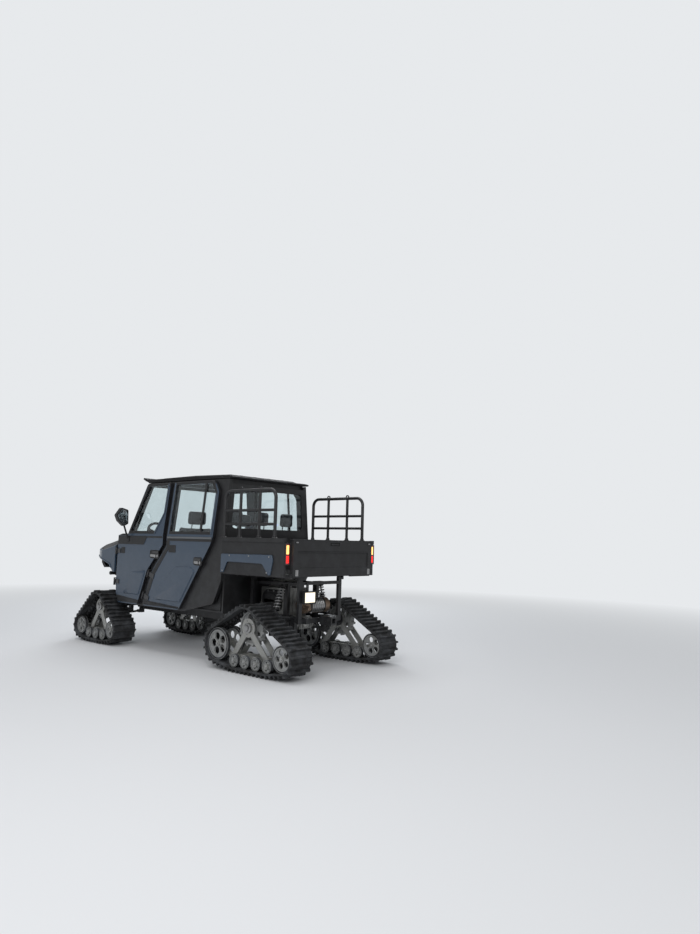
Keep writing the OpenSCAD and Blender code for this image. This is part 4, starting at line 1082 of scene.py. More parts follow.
@dataclass
class Machinery:
    """Covers, fins, pipes and bolts of the engine, transaxle and muffler under the box."""

    cover_ribs: int = 6
    cover_rib_pitch: float = 40.0
    head_fins: int = 10
    head_fin_pitch: float = 8.0
    case_face: float = 139.7
    muffler_x: float = -180.0
    muffler_z: float = 660.0
    shield_r: tuple[float, float] = (86.0, 89.0)

    def round_muffler(self, r: float, y: float, degrees: float) -> Vector:
        """A point at a distance from the muffler's axis."""
        a = math.radians(degrees)
        return row(self.muffler_x + r * math.cos(a), y, self.muffler_z + r * math.sin(a))

    def engine(self) -> None:
        """Belt cover, finned head, airbox, filter and the block's bolts."""
        cover, metal, steel = Shape(), Shape(), Shape()
        lobes = [(128, 566, 70), (420, 590, 90), (446, 806, 90), (150, 806, 90)]
        cover.plate(lobes, 170, 30, 10)
        cover.plate(grown(lobes, -34), 199, 7, 5)
        for k in range(self.cover_ribs):
            x = 190 + self.cover_rib_pitch * k
            cover.block((x, 198, 640), (x + 7, 205, 770))
        cover.block((300, -205, 836), (462, -120, 925))
        for k in range(self.head_fins):
            spread = 6 * (k % 2)
            z = 834 + self.head_fin_pitch * k
            metal.block((196 - spread, -112, z), (404 + spread, 112, z + 4))
        metal.block((212, -92, 830), (388, 92, 918))
        metal.block((222, -72, 916), (378, 72, 930))
        metal.lathe(row(469, 96, 640), AHEAD,
                    [(0.03, 0.0), (0.038, 0.006), (0.038, 0.058), (0.03, 0.07), (0.012, 0.072)], 28)
        for z in range(560, 801, 80):
            metal.block((86, -150, z), (92, 150, z + 10))
        for y in range(-120, 121, 80):
            metal.block((84, y - 5, 500), (92, y + 5, 815))
        metal.tube([row(300, -100, 880), row(300, -132, 886), row(318, -150, 886)], 0.022, 16)
        metal.tube([row(120, 60, 820), row(120, 60, 860), row(160, 40, 888), row(216, 30, 892)], 0.014, 14)
        metal.tube([row(440, 0, 820), row(440, 0, 866), row(416, 0, 884), row(392, 0, 886)], 0.016, 14)
        steel.bolts([(x, 196, z) for x, z in ((136, 600), (136, 690), (150, 780), (420, 780), (434, 690),
                                              (410, 606))], SIDEWAYS, 0.014)
        steel.bolts([(x, 199.5, z) for x, z in ((240, 796), (330, 796), (320, 596), (230, 588))],
                    SIDEWAYS, 0.014)
        steel.bolts([(x, y, 929) for x in (236, 364) for y in (-60, 0, 60)], UP, 0.014)
        piece("engine_covers", cover, "black_plastic", "chassis", 0.006)
        piece("engine_head", metal, "engine_metal", "chassis", 0.0012)
        piece("engine_bolts", steel, "machined_steel", "chassis")

    def transaxle(self) -> None:
        """Ribs, end covers and bolt circles of both drive cases."""
        metal, steel = Shape(), Shape()
        for axle in (0.0, WHEELBASE):
            for way in (-1, 1):
                centre = row(axle, way * self.case_face, HUB_Z)
                metal.lathe(centre, SIDEWAYS * way,
                            [(0.066, -0.02), (0.07, -0.016), (0.07, -0.004), (0.062, 0.0), (0.04, 0.002)], 32)
                for spot in ring_points(centre, AHEAD, UP, 0.057, 6, math.pi / 6):
                    steel.bolt(spot, SIDEWAYS * way, 0.013)
        for y in range(-72, 73, 36):
            metal.block((-77, y - 4, 400), (-68, y + 4, 521))
            metal.block((-66, y - 4, 523), (86, y + 4, 531))
        metal.lathe(row(-70, 0, HUB_Z), -AHEAD,
                    [(0.05, 0.0), (0.05, 0.01), (0.042, 0.018), (0.02, 0.022)], 32)
        for spot in ring_points(row(-79.5, 0, HUB_Z), SIDEWAYS, UP, 0.044, 8):
            steel.bolt(spot, -AHEAD, 0.011)
        piece("drive_cases", metal, "cast_metal", "chassis", 0.001)
        piece("drive_case_bolts", steel, "machined_steel", "chassis")

    def exhaust(self) -> None:
        """Domed muffler ends, straps, slatted heat shield and the pipe's rolled tip."""
        heated, shield, steel = Shape(), Shape(), Shape()
        middle = self.muffler_x
        for way in (-1, 1):
            heated.lathe(row(middle, way * 189.7, self.muffler_z), SIDEWAYS * way,
                         [(0.083, -0.012), (0.083, -0.002), (0.078, 0.002), (0.06, 0.007), (0.03, 0.01)], 36)
        heated.lathe(row(-298, 185, 640.3), Vector((-120, 0, -20)),
                     [(0.02, -0.004), (0.0235, 0.0), (0.0235, 0.006), (0.019, 0.008), (0.017, 0.004)], 28)
        for y in (-112, 112):
            steel.lathe(row(middle, y - 9, self.muffler_z), SIDEWAYS,
                        [(0.0795, 0.0), (0.0825, 0.001), (0.0825, 0.017), (0.0795, 0.018)], 48)
            steel.block((middle - 10, y - 9, 738), (middle + 10, y + 9, 752))
            steel.bolt(row(middle, y + 9, 747), SIDEWAYS, 0.012)
        inner, outer = self.shield_r
        for y in range(-96, 73, 28):
            section = ((inner, y), (outer, y + 3), (outer, y + 17), (inner, y + 20))
            shield.rings([[self.round_muffler(r, level, a) for r, level in section]
                          for a in range(110, 231, 10)])
        for a in (112, 170, 228):
            shield.tube([self.round_muffler(inner, -98, a), self.round_muffler(inner, 94, a)], 0.003, 8)
        piece("muffler_ends", heated, "heated_steel", "chassis", 0.0, 25.0)
        piece("muffler_shield", shield, "machined_steel", "chassis")
        piece("muffler_straps", steel, "coated_steel", "chassis")

    def build(self) -> None:
        """Makes all of it."""
        self.engine()
        self.transaxle()
        self.exhaust()


# Doors


FRONT_WINDOW = [(2345, 1432, 10), (2072, 1990, 40), (1668, 1990, 12), (1678, 1660, 60), (1830, 1432, 12)]
REAR_WINDOW = [(1515, 1432, 10), (1505, 1990, 12), (825, 1990, 70), (742, 1870, 40), (748, 1432, 10)]
SKIN = DOOR_OUT - 1
PROUD = DOOR_OUT + 3.5

# Each moulding's name, finish and slot, and its plates as Shape.plate takes them
MOULDINGS = {
    ("front_window_frame", "black_plastic", "black_plastic"): [
        ([(2392, 1398, 12), (2098, 2022, 44), (1652, 2022, 14), (1662, 1650, 60), (1812, 1398, 14)],
         SKIN, 5, 2, True, FRONT_WINDOW)],
    ("rear_window_frame", "black_plastic", "black_plastic"): [
        ([(1546, 1398, 12), (1536, 2022, 14), (800, 2022, 82), (716, 1880, 50), (722, 1398, 12)],
         SKIN, 5, 2, True, REAR_WINDOW),
        (upright(922, 1425, 954, 1998, 2), DOOR_OUT - 12, 12, 2, True)],
    ("front_window_sash", "body_paint", "body_paint"): [
        ([(1812, 1400, 2), (1832, 1400, 2), (1682, 1656, 40), (1672, 2016, 2), (1654, 2016, 2),
          (1664, 1652, 50)], PROUD, 3, 1, True)],
    ("rear_window_sash", "body_paint", "body_paint"): [
        ([(1518, 1402, 2), (1544, 1402, 2), (1535, 2016, 2), (1509, 2016, 2)], PROUD, 3, 1, True),
        ([(724, 1402, 2), (745, 1402, 2), (740, 1862, 2), (719, 1862, 2)], PROUD, 3, 1, True)],
    ("front_belt_strip", "black_plastic", "black_plastic"): [
        ([(2606, 1266, 8), (2606, 1374, 8), (1962, 1374, 8), (2030, 1268, 14)], SKIN, 7, 3),
        ([(1972, 1352, 4), (1958, 1374, 4), (1652, 1374, 4), (1652, 1352, 4)], SKIN, 5, 2)],
    ("rear_belt_strip", "black_plastic", "black_plastic"): [
        ([(1548, 1322, 6), (1548, 1376, 6), (712, 1376, 6), (722, 1322, 6)], SKIN, 5, 2),
        ([(1988, 550, 8), (1816, 954, 60), (1555, 1256, 20), (1555, 1326, 4), (1498, 1326, 4),
          (1498, 1238, 20), (1758, 928, 60), (1926, 550, 8)], SKIN, 5.5, 3)],
    ("rear_belt_moulding", "sash_grey", "steel"): [
        ([(1544, 1352, 3), (1544, 1373, 3), (716, 1373, 3), (720, 1352, 3)], PROUD, 3, 1)],
    ("front_door_panel", "body_paint", "body_paint"): [
        ([(2443, 652, 24), (2262, 928, 90), (1966, 960, 24), (2090, 652, 24)], SKIN, 13, 9)],
    ("rear_door_panel", "body_paint", "body_paint"): [
        ([(1755, 622, 24), (1690, 745, 60), (1344, 1026, 40), (1083, 1037, 50), (992, 990, 24),
          (1240, 622, 24)], SKIN, 13, 9)],
    ("front_door_cladding", "black_plastic", "black_plastic"): [
        ([(2538, 545, 16), (2586, 628, 12), (2084, 588, 12), (2102, 545, 10)], SKIN, 6, 4)],
    ("rear_door_cladding", "black_plastic", "black_plastic"): [
        ([(1986, 545, 10), (1968, 590, 12), (1840, 594, 12), (1250, 566, 10), (1270, 545, 8)], SKIN, 6, 4)],
}


@dataclass
class DoorTrim:
    """The mouldings of one side's doors: window frames, belt strips, cladding, creases, handles and cards."""

    side: Side
    front_card: list[Corner] = field(default_factory=lambda: [
        (2540, 532, 30), (2600, 660, 60), (2612, 800, 60), (2612, BELT_Z, 4), (1640, BELT_Z, 4),
        (1640, 1270, 20), (1935, 960, 60), (2110, 532, 30)])
    rear_card: list[Corner] = field(default_factory=lambda: [
        (2000, 532, 30), (1822, 960, 60), (1560, 1262, 20), (1560, BELT_Z, 4), (700, BELT_Z, 4),
        (740, 1290, 30), (1270, 532, 60)])

    def emit(self, name: str, shape: Shape, finish: str, bevel: float = 0.0) -> None:
        """Makes a piece on this side's door, the front or rear one as the name says."""
        door = f"{name.split('_')[0]}_door_{self.side.word}"
        piece(f"{name}_{self.side.word}", shape, finish, door, bevel, side=self.side)

    def mouldings(self) -> None:
        """Window frames and sashes, strips under the windows, raised panels and dark cladding at the feet."""
        for (name, finish, slot), plates in MOULDINGS.items():
            shape = Shape()
            for plate in plates:
                shape.plate(*plate)
            self.emit(name, shape, finish)

    def handles(self) -> None:
        """Small plates under the windows, and latches: a dished surround, a paddle and its bracket."""
        latches = (("front", (1888.0, 1098.0), (1700.0, 1206.0), (2444.0, 1151.0, 2526.0, 1227.0)),
                   ("rear", (1024.0, 1046.0), (874.0, 1146.0), (1372.0, 1186.0, 1510.0, 1274.0)))
        for name, (x1, z0), (x0, z1), hinge_plate in latches:
            cup, paddle = Shape(), Shape()
            cup.plate(upright(*hinge_plate, 8), SKIN, 5, 2)
            outer = [(x1, z0 + 14, 16), (x1, z1, 22), (x0, z1, 22), (x0, z0, 22)]
            cup.plate(outer, SKIN, 6, 3, False, grown(outer, -9))
            cup.plate(grown(outer, -8), SKIN, 2, 1)
            self.emit(f"{name}_door_plates", cup, "black_plastic")
            paddle.plate([(x1 - 18, z0 + 26, 8), (x1 - 18, z0 + 58, 8), (x0 + 62, z0 + 58, 8),
                          (x0 + 62, z0 + 20, 8)], DOOR_OUT + 2, 9, 4)
            paddle.plate(upright(x0 + 24, z0 + 22, x0 + 50, z0 + 56, 6), DOOR_OUT, 5, 2)
            self.emit(f"{name}_door_paddle", paddle, "machined_steel")

    def speaker(self, card: Shape, x: float, z: float) -> None:
        """A round grille with cross bars on a card."""
        card.lathe(row(x, DOOR_IN - 20, z), -SIDEWAYS,
                   [(0.07, -0.002), (0.07, 0.005), (0.062, 0.008), (0.058, 0.004), (0.02, 0.006)], 36)
        for k in range(-3, 4):
            reach = math.sqrt(55 ** 2 - (15 * k) ** 2)
            card.block((x - reach, DOOR_IN - 28, z + 15 * k - 2), (x + reach, DOOR_IN - 23, z + 15 * k + 2))

    def inner_cards(self) -> None:
        """Inside of the doors: cards with padded inserts, armrests, pull bars, levers and window seals."""
        for name, outline, window, arm, speaker in (
                ("front", self.front_card, FRONT_WINDOW, 1930, (2440, 720)),
                ("rear", self.rear_card, REAR_WINDOW, 1090, (1720, 680))):
            card, insert, seal, metal = Shape(), Shape(), Shape(), Shape()
            card.plate(grown(outline, -44), DOOR_IN + 1, -19, 5)
            insert.plate(grown(outline, -96), DOOR_IN - 16, -6, 4)
            card.block((arm, DOOR_IN - 46, 1010), (arm + 330, DOOR_IN - 10, 1046))
            insert.block((arm + 6, DOOR_IN - 44, 1040), (arm + 324, DOOR_IN - 12, 1054))
            card.tube([row(arm + x, DOOR_IN - off, z) for x, off, z in
                       ((60, 20, 1140), (66, 44, 1146), (250, 44, 1156), (256, 20, 1160))], 0.009, 12)
            self.speaker(card, *speaker)
            metal.block((arm - 60, DOOR_IN - 34, 1150), (arm + 10, DOOR_IN - 26, 1172))
            metal.lathe(row(arm + 4, DOOR_IN - 18, 1161), -SIDEWAYS,
                        [(0.015, 0.0), (0.015, 0.016), (0.011, 0.018)], 20)
            seal.plate(grown(window, 9), DOOR_IN + 1, -5, 2, True, window)
            self.emit(f"{name}_door_card", card, "roof_plastic", 0.003)
            self.emit(f"{name}_door_insert", insert, "seat_vinyl", 0.004)
            self.emit(f"{name}_door_lever", metal, "machined_steel", 0.002)
            self.emit(f"{name}_window_seal", seal, "tyre_rubber")

    def build(self) -> None:
        """Makes all the trim of this side."""
        self.inner_cards()
        self.mouldings()
        self.handles()


# Nose


@dataclass
class Nose:
    """Creases and louvre of the hood, lamp modules, radiator fins and the bumper's ends."""

    fall: float = 12.5
    top_z: float = 1235.9
    shoulder_y: float = 500.0
    shoulder_fall: float = 31.0
    louvres: int = 6
    louvre_pitch: float = 20.0
    fins: int = 48
    fin_pitch: float = 12.0

    def on_hood(self, u: float, y: float, h: float = 0.0) -> Vector:
        """A point of the falling hood: u along it from the nose's tip, h above its skin."""
        a = math.radians(self.fall)
        down = max(0.0, abs(y) - self.shoulder_y) * math.tan(math.radians(self.shoulder_fall))
        lift = h - down
        along, across = math.cos(a), math.sin(a)
        return row(NOSE_X + u * along + lift * across, y, self.top_z - u * across + lift * along)

    def bead(self, shape: Shape, path: list[Flat], width: float, height: float) -> None:
        """A pressed bead along (u, y) points of the hood, running out at both ends."""
        rings = []
        count = len(path)
        for k, (u, y) in enumerate(path):
            before, after = path[max(0, k - 1)], path[min(count - 1, k + 1)]
            way = Vector((after[0] - before[0], after[1] - before[1])).normalized()
            side = Vector((-way.y, way.x))
            rise = height if 0 < k < count - 1 else -0.5
            ring = []
            for off, h in ((-width / 2, -1.5), (-width / 4, rise), (width / 4, rise), (width / 2, -1.5)):
                ring.append(self.on_hood(u + side.x * off, y + side.y * off, h))
            rings.append(ring)
        shape.rings(rings)

    def hood(self) -> None:
        """Two creases that close in towards the nose, a louvre between them and the latches."""
        skin, dark = Shape(), Shape()
        for way in (-1, 1):
            self.bead(skin, [(-455, way * 388), (-440, way * 386), (-300, way * 366), (-160, way * 338),
                             (-60, way * 310), (-40, way * 304)], 30, 7)
            self.bead(skin, [(-430, way * 150), (-418, way * 150), (-120, way * 118), (-100, way * 116)],
                      22, 4)
        for k in range(self.louvres):
            u = -400 + self.louvre_pitch * k
            self.bead(dark, [(u, -112), (u, -104), (u, 104), (u, 112)], 13, 5)
        for way in (-1, 1):
            self.bead(dark, [(-92, way * 452), (-86, way * 452), (-52, way * 452), (-46, way * 452)], 34, 9)
        piece("hood_creases", skin, "gloss_black", "hood", 0.0, 50.0)
        piece("hood_louvre", dark, "black_plastic", "hood")

    def face(self) -> None:
        """Lit modules of the headlamps, fins of the radiator and ends of the bumper's bars."""
        lit, bezel, fins, ends = Shape(), Shape(), Shape(), Shape()
        for y in (376, 412):
            lit.pair((3303, y, 1107), (3309, y + 30, 1156))
        for z in (1100, 1158):
            bezel.pair((3302, 368, z), (3311, 450, z + 5))
        for way in (-1, 1):
            for z, x in ((860, 3250), (1000, 3299)):
                ends.lathe(row(x, way * 430, z - 0.1), SIDEWAYS * way,
                           [(0.0255, -0.012), (0.0255, 0.001), (0.02, 0.006), (0.008, 0.008)], 24)
                ends.lathe(row(x, way * 330, z - 0.1), SIDEWAYS * way,
                           [(0.027, -0.03), (0.029, -0.028), (0.029, 0.028), (0.027, 0.03)], 24)
        for k in range(self.fins):
            y = -288 + self.fin_pitch * k
            fins.block((3075, y, 1004), (3080, y + 3, 1146))
        for z in (1003, 1050, 1097, 1144):
            fins.block((3077, -294, z), (3083, 294, z + 5))
        piece("headlamp_modules", lit, "head_light", "chassis", 0.002)
        piece("headlamp_bezels", bezel, "black_plastic", "chassis", 0.001)
        piece("radiator_fins", fins, "engine_metal", "chassis")
        piece("bumper_ends", ends, "black_plastic", "chassis")

    def mirror_glass(self, side: Side) -> None:
        """The mirror's glass on the rearward face of its housing."""
        glass = Shape()
        flat = grown([(842, 1489, 12), (916, 1551, 14), (949, 1624, 14), (879, 1721, 12), (786, 1695, 12),
                      (781, 1521, 12)], -15)
        glass.rings([[row(2312 + (z - 1480) * 0.04 - proud, y, z) for y, z in softened(grown(flat, -inset))]
                     for inset, proud in ((0, -1.0), (0, 1.2), (2.5, 2.2))])
        piece(f"mirror_glass_{side.word}", glass, "mirror_glass", f"front_door_{side.word}",
              side=side)

    def build(self) -> None:
        """Makes all of it."""
        self.hood()
        self.face()
        for side in Side:
            self.mirror_glass(side)


# Box and roof fittings


@dataclass
class BoxFittings:
    """Caps, feet, corner pieces, wall ribs, tie-downs and latches of the cargo box."""

    rack_x: tuple[float, ...] = (523.0, -275.0, -35.6, 267.6)
    rail_y: float = 708.0
    rail_top: float = 1376.0
    panel_y: float = 735.6
    ring_x: tuple[float, ...] = (-330.0, 420.0)
    ring_z: float = 1316.0
    wall_rib_x: range = range(-380, 461, 120)
    floor_bolster_x: tuple[float, ...] = (-400.0, -150.0, 0.0, 150.0, 300.0)
    gate_x: float = -484.0
    gate_rib_y: range = range(-520, 521, 130)
    bead_y: range = range(-330, 331, 220)
    bead_path: tuple[Flat, ...] = ((700, 2096), (724, 2101), (1350, 2115), (1960, 2109), (1984, 2104))
    gutter_path: tuple[Flat, ...] = ((560, 2047), (1300, 2049), (2120, 2049), (2200, 2068), (2268, 2098))

    def side_pieces(self, side: Side) -> None:
        """One side's rail cap, rack feet, inner ribs and tie-downs."""
        cap, feet, ribs, steel = Shape(), Shape(), Shape(), Shape()
        cap.block((-430, 696, self.rail_top - 3), (538, 729, self.rail_top + 1.5))
        for x in (-437.5, 506):
            cap.block((x, 694, self.rail_top - 38), (x + 39, 733.5, self.rail_top + 3.5))
        for x in self.rack_x:
            feet.lathe(row(x, self.rail_y, self.rail_top), UP,
                       [(0.034, 0.0), (0.034, 0.005), (0.0225, 0.008), (0.0215, 0.026), (0.0188, 0.027)], 24)
            steel.bolts([(x + off, self.rail_y, self.rail_top + 5) for off in (-27, 27)], UP, 0.01)
        for x in self.wall_rib_x:
            ribs.block((x - 13, 689, 1018), (x + 13, 698, 1342))
        for x in self.floor_bolster_x:
            ribs.block((x - 14, 346, 975), (x + 14, 690, 987))
        ribs.block((-425, 640, 977), (530, 652, 987))
        for x in self.ring_x:
            steel.tube(ring_points(row(x, 684, self.ring_z), AHEAD, UP, 0.022, 24), 0.004, 8, True)
            steel.block((x - 14, 686, self.ring_z + 14), (x + 14, 699, self.ring_z + 30))
        panel_bolts = ((-230, 1185), (80, 1185), (390, 1185), (500, 1020), (-200, 1024))
        steel.bolts([(x, self.panel_y, z) for x, z in panel_bolts], SIDEWAYS, 0.012)
        shapes = {"box_cap": (cap, "black_plastic", "black_plastic", 0.003),
                  "rack_feet": (feet, "coated_steel", "steel", 0.0),
                  "box_ribs": (ribs, "box_liner", "black_plastic", 0.004),
                  "box_bolts": (steel, "machined_steel", "steel", 0.0)}
        for name, (shape, finish, slot, bevel) in shapes.items():
            piece(f"{name}_{side.word}", shape, finish, "cargo_box", bevel, side=side)

    def gate(self) -> None:
        """The tailgate's top lip, latch, hinge straps and inner ribs."""
        dark, ribs, steel = Shape(), Shape(), Shape()
        x = self.gate_x
        dark.block((x + 0.5, -648, 1362), (x + 44, 648, 1374))
        dark.block((x + 1, -62, 1318), (x + 14, 62, 1337))
        dark.pair((x, 560, 1326), (x + 6, 612, 1354))
        steel.pair((x - 3, 572, 1334), (x + 4, 600, 1346))
        steel.pair((x, 560, 1000), (x + 5, 600, 1062))
        steel.bolts([(x, y, z) for y in (-580, 580) for z in (1024, 1050)], -AHEAD, 0.013)
        for y in self.gate_rib_y:
            ribs.block((x + 41, y - 12, 1026), (x + 46.5, y + 12, 1340))
        dark.block((x + 1, -560, 1239), (x + 4, 560, 1247))
        piece("tailgate_lip", dark, "black_plastic", "tailgate", 0.003)
        piece("tailgate_latches", steel, "machined_steel", "tailgate", 0.001)
        piece("tailgate_ribs", ribs, "box_liner", "tailgate", 0.0015)

    def roof(self) -> None:
        """Gutters, pressed beads and bolts of the roof, and the headliner under it."""
        rails, liner, steel = Shape(), Shape(), Shape()
        for y in (-622, 622):
            rails.tube([row(x, y, z) for x, z in self.gutter_path], 0.0055, 10)
        for y in self.bead_y:
            section = ((-30, 0), (-18, 1.5), (18, 1.5), (30, 0), (30, -12), (-30, -12))
            rails.rings([[row(x, y + off, z + rise) for off, rise in section] for x, z in self.bead_path])
        for low, high in ((662, 1574), (1626, 2068)):
            liner.block((low, -556, 2020), (high, 556, 2038))
        for x, z in ((620, 2068), (1350, 2074), (2060, 2074)):
            steel.bolts([(x, y, z) for y in (-560, 560)], UP, 0.016)
        liner.block((1230, -60, 2012), (1330, 60, 2022))
        piece("roof_rails", rails, "roof_plastic", "chassis", 0.0, 40.0)
        piece("headliner", liner, "seat_vinyl", "chassis", 0.006)
        piece("roof_bolts", steel, "machined_steel", "chassis")

    def build(self) -> None:
        """Makes all of it."""
        for side in Side:
            self.side_pieces(side)
        self.gate()
        self.roof()


# Interior


@dataclass
class Interior:
    """Screen, vents, switches, grips, wheel cap, pedals and mats of the cab."""

    rake: float = 58.0
    hub: Corner = (2180.0, 400.0, 1400.0)
    rim_r: float = 0.165
    vent_y: tuple[float, ...] = (-500.0, -330.0, 190.0)
    switches: int = 5
    switch_pitch: float = 43.0
    lever_y: float = 74.0
    grab_rail: tuple[Corner, ...] = (
        (90, -560, -8), (84, -556, 26), (84, -440, 32), (84, -300, 32), (90, -270, -8))
    pedal_y: tuple[float, ...] = (330.0, 440.0)
    mat_x: tuple[Flat, ...] = ((2076, 2300), (1316, 1424))
    rib_pitch: int = 24

    def on_dash(self, u: float, y: float, n: float) -> Vector:
        """A point of the dashboard's leaning face: u up along it, n out of it."""
        return row(2255 + 0.468 * u - 0.884 * n, y, 1260 + 0.884 * u + 0.468 * n)

    def slab(self, shape: Shape, low: Corner, high: Corner) -> None:
        """A box on the dashboard's face between two (u, y, n) corners."""
        rings = []
        for n in (low[2], high[2]):
            rings.append([self.on_dash(u, y, n) for u, y in ((low[0], low[1]), (high[0], low[1]),
                                                             (high[0], high[1]), (low[0], high[1]))])
        shape.rings(rings)

    def dash(self) -> None:
        """Display, vents, switches, grab rail and gear lever on the dashboard's face."""
        dark, lit, metal = Shape(), Shape(), Shape()
        out = self.on_dash(0, 0, 1) - self.on_dash(0, 0, 0)
        self.slab(dark, (8, -112, -2), (88, 112, 7))
        self.slab(lit, (16, -98, 6), (80, 98, 8.5))
        for y in self.vent_y:
            centre = self.on_dash(52, y, 0)
            dark.lathe(centre, out,
                       [(0.04, -0.002), (0.04, 0.006), (0.034, 0.009), (0.032, 0.002), (0.004, 0.002)], 28)
            for k in (-1, 0, 1):
                self.slab(dark, (50 + 14 * k, y - 30, 1), (53 + 14 * k, y + 30, 6))
            across = out.cross(SIDEWAYS).normalized()
            ring = ring_points(centre + out.normalized() * 0.009, SIDEWAYS, across, 0.037, 28)
            metal.tube(ring, 0.0022, 8, True)
        for k in range(self.switches):
            y = self.switch_pitch * k
            self.slab(dark, (-34, y - 104, -2), (-10, y - 72, 5))
            self.slab(lit, (-15, y - 96, 4), (-12, y - 80, 6))
        self.slab(dark, (14, -250, -2), (84, -128, 4))
        dark.tube([self.on_dash(*p) for p in self.grab_rail], 0.011, 14)
        dark.block((2210, 30, 1120), (2330, 118, 1180))
        lever = ((2240, 1178), (2226, 1240), (2214, 1282))
        metal.tube([row(x, self.lever_y, z) for x, z in lever], 0.007, 12)
        dark.lathe(row(2214, self.lever_y, 1276), Vector((-14, 0, 50)),
                   [(0.012, 0.0), (0.02, 0.012), (0.022, 0.03), (0.012, 0.044)], 20)
        piece("dash_trim", dark, "black_plastic", "chassis", 0.002)
        piece("dash_lights", lit, "dash_light", "chassis")
        piece("dash_metal", metal, "machined_steel", "chassis")

    def wheel(self) -> None:
        """Cap and grips of the steering wheel."""
        cap, grips = Shape(), Shape()
        a = math.radians(self.rake)
        axis = Vector((-math.sin(a), 0, math.cos(a)))
        up = axis.cross(SIDEWAYS)
        hub = row(*self.hub)
        cap.lathe(hub, axis,
                  [(0.034, 0.008), (0.046, 0.01), (0.046, 0.02), (0.038, 0.028), (0.012, 0.031)], 28)
        for start in (20, 140, 260):
            points = []
            for k in range(15):
                b = math.radians(start + 5 * k)
                points.append(hub + self.rim_r * (math.cos(b) * SIDEWAYS + math.sin(b) * up))
            grips.tube(points, 0.0165, 14)
        piece("steering_cap", cap, "black_plastic", "steering_wheel")
        piece("steering_grips", grips, "seat_vinyl", "steering_wheel", 0.0, 50.0)

    def floor(self) -> None:
        """Pedals and ribbed mats."""
        metal, mats = Shape(), Shape()
        for y in self.pedal_y:
            metal.tube([row(2452, y, 860), row(2420, y, 760), row(2380, y, 660)], 0.008, 12)
            metal.block((2366, y - 34, 626), (2382, y + 34, 690))
        for x0, x1 in self.mat_x:
            mats.pair((x0, 40, 564), (x1, 590, 569))
            for x in range(x0 + 8, x1 - self.rib_pitch + 9, self.rib_pitch):
                mats.pair((x, 60, 568), (x + 10, 570, 573))
        piece("pedals", metal, "coated_steel", "chassis", 0.003)
        piece("floor_mats", mats, "tyre_rubber", "chassis", 0.001)

    def build(self) -> None:
        """Makes all of it."""
        self.dash()
        self.wheel()
        self.floor()


# Seats


@dataclass
class Pad:
    """A cushion or back, blown up by cloth from its outline, with sewn channels held down."""

    name: str
    outline: list[Corner]
    width: float
    channels: list[tuple[Vector, Vector]]
    voxel: float = 0.014
    cap: float = 0.012
    channel_reach: float = 0.06
    channel_width: float = 0.012

    def core(self) -> bpy.types.Object:
        """The slightly smaller starting form, remeshed."""
        half = self.width / 2 - 8
        shape = Shape()
        inner = softened(grown(self.outline, -8), 4)
        tight = softened(grown(self.outline, -20), 4)
        rings = []
        for y, pts in ((-half, tight), (-half + 14, inner), (half - 14, inner), (half, tight)):
            rings.append([Vector((x / 1000, y / 1000, z / 1000)) for x, z in pts])
        shape.rings(rings)
        obj = linked(self.name, shape.mesh(self.name))
        remesh = obj.modifiers.new("voxels", "REMESH")
        remesh.mode = "VOXEL"
        remesh.voxel_size = self.voxel
        self.apply(obj)
        return obj

    def apply(self, obj: bpy.types.Object) -> None:
        """Fixes an object's modifiers into its mesh."""
        bpy.context.view_layer.update()
        made = bpy.data.meshes.new_from_object(obj.evaluated_get(bpy.context.evaluated_depsgraph_get()))
        obj.modifiers.clear()
        obj.data = made

    def seam_depth(self, p: Vector) -> float:
        """How strongly a point is held by the nearest channel, from 0 to 1."""
        best = 0.0
        for start, way in self.channels:
            flat = Vector((p.x - start.x, 0, p.z - start.z))
            if flat.length < self.channel_reach:
                best = max(best, 1 - abs(flat.dot(way)) / self.channel_width)
        return max(0.0, min(1.0, best))

    def blown(self) -> bpy.types.Mesh:
        """Runs the cloth and gives the finished mesh."""
        obj = self.core()
        start = [v.co.copy() for v in obj.data.vertices]
        group = obj.vertex_groups.new(name="seams")
        for v in obj.data.vertices:
            hold = self.seam_depth(v.co)
            if hold > 0.3:
                group.add([v.index], hold, "REPLACE")
        cloth = obj.modifiers.new("cloth", "CLOTH")
        cloth.settings.use_pressure = True
        cloth.settings.uniform_pressure_force = 4.0
        cloth.settings.vertex_group_mass = "seams"
        cloth.settings.effector_weights.gravity = 0.0
        cloth.settings.quality = 4
        for frame in range(1, 19):
            bpy.context.scene.frame_set(frame)
        self.apply(obj)
        for v, was in zip(obj.data.vertices, start):
            move = v.co - was
            if move.length > self.cap:
                v.co = was + move.normalized() * self.cap
        bpy.context.scene.frame_set(1)
        subdivide = obj.modifiers.new("smooth", "SUBSURF")
        subdivide.levels = 1
        self.apply(obj)
        mesh = obj.data
        bpy.data.objects.remove(obj)
        shade(mesh, 60)
        return mesh


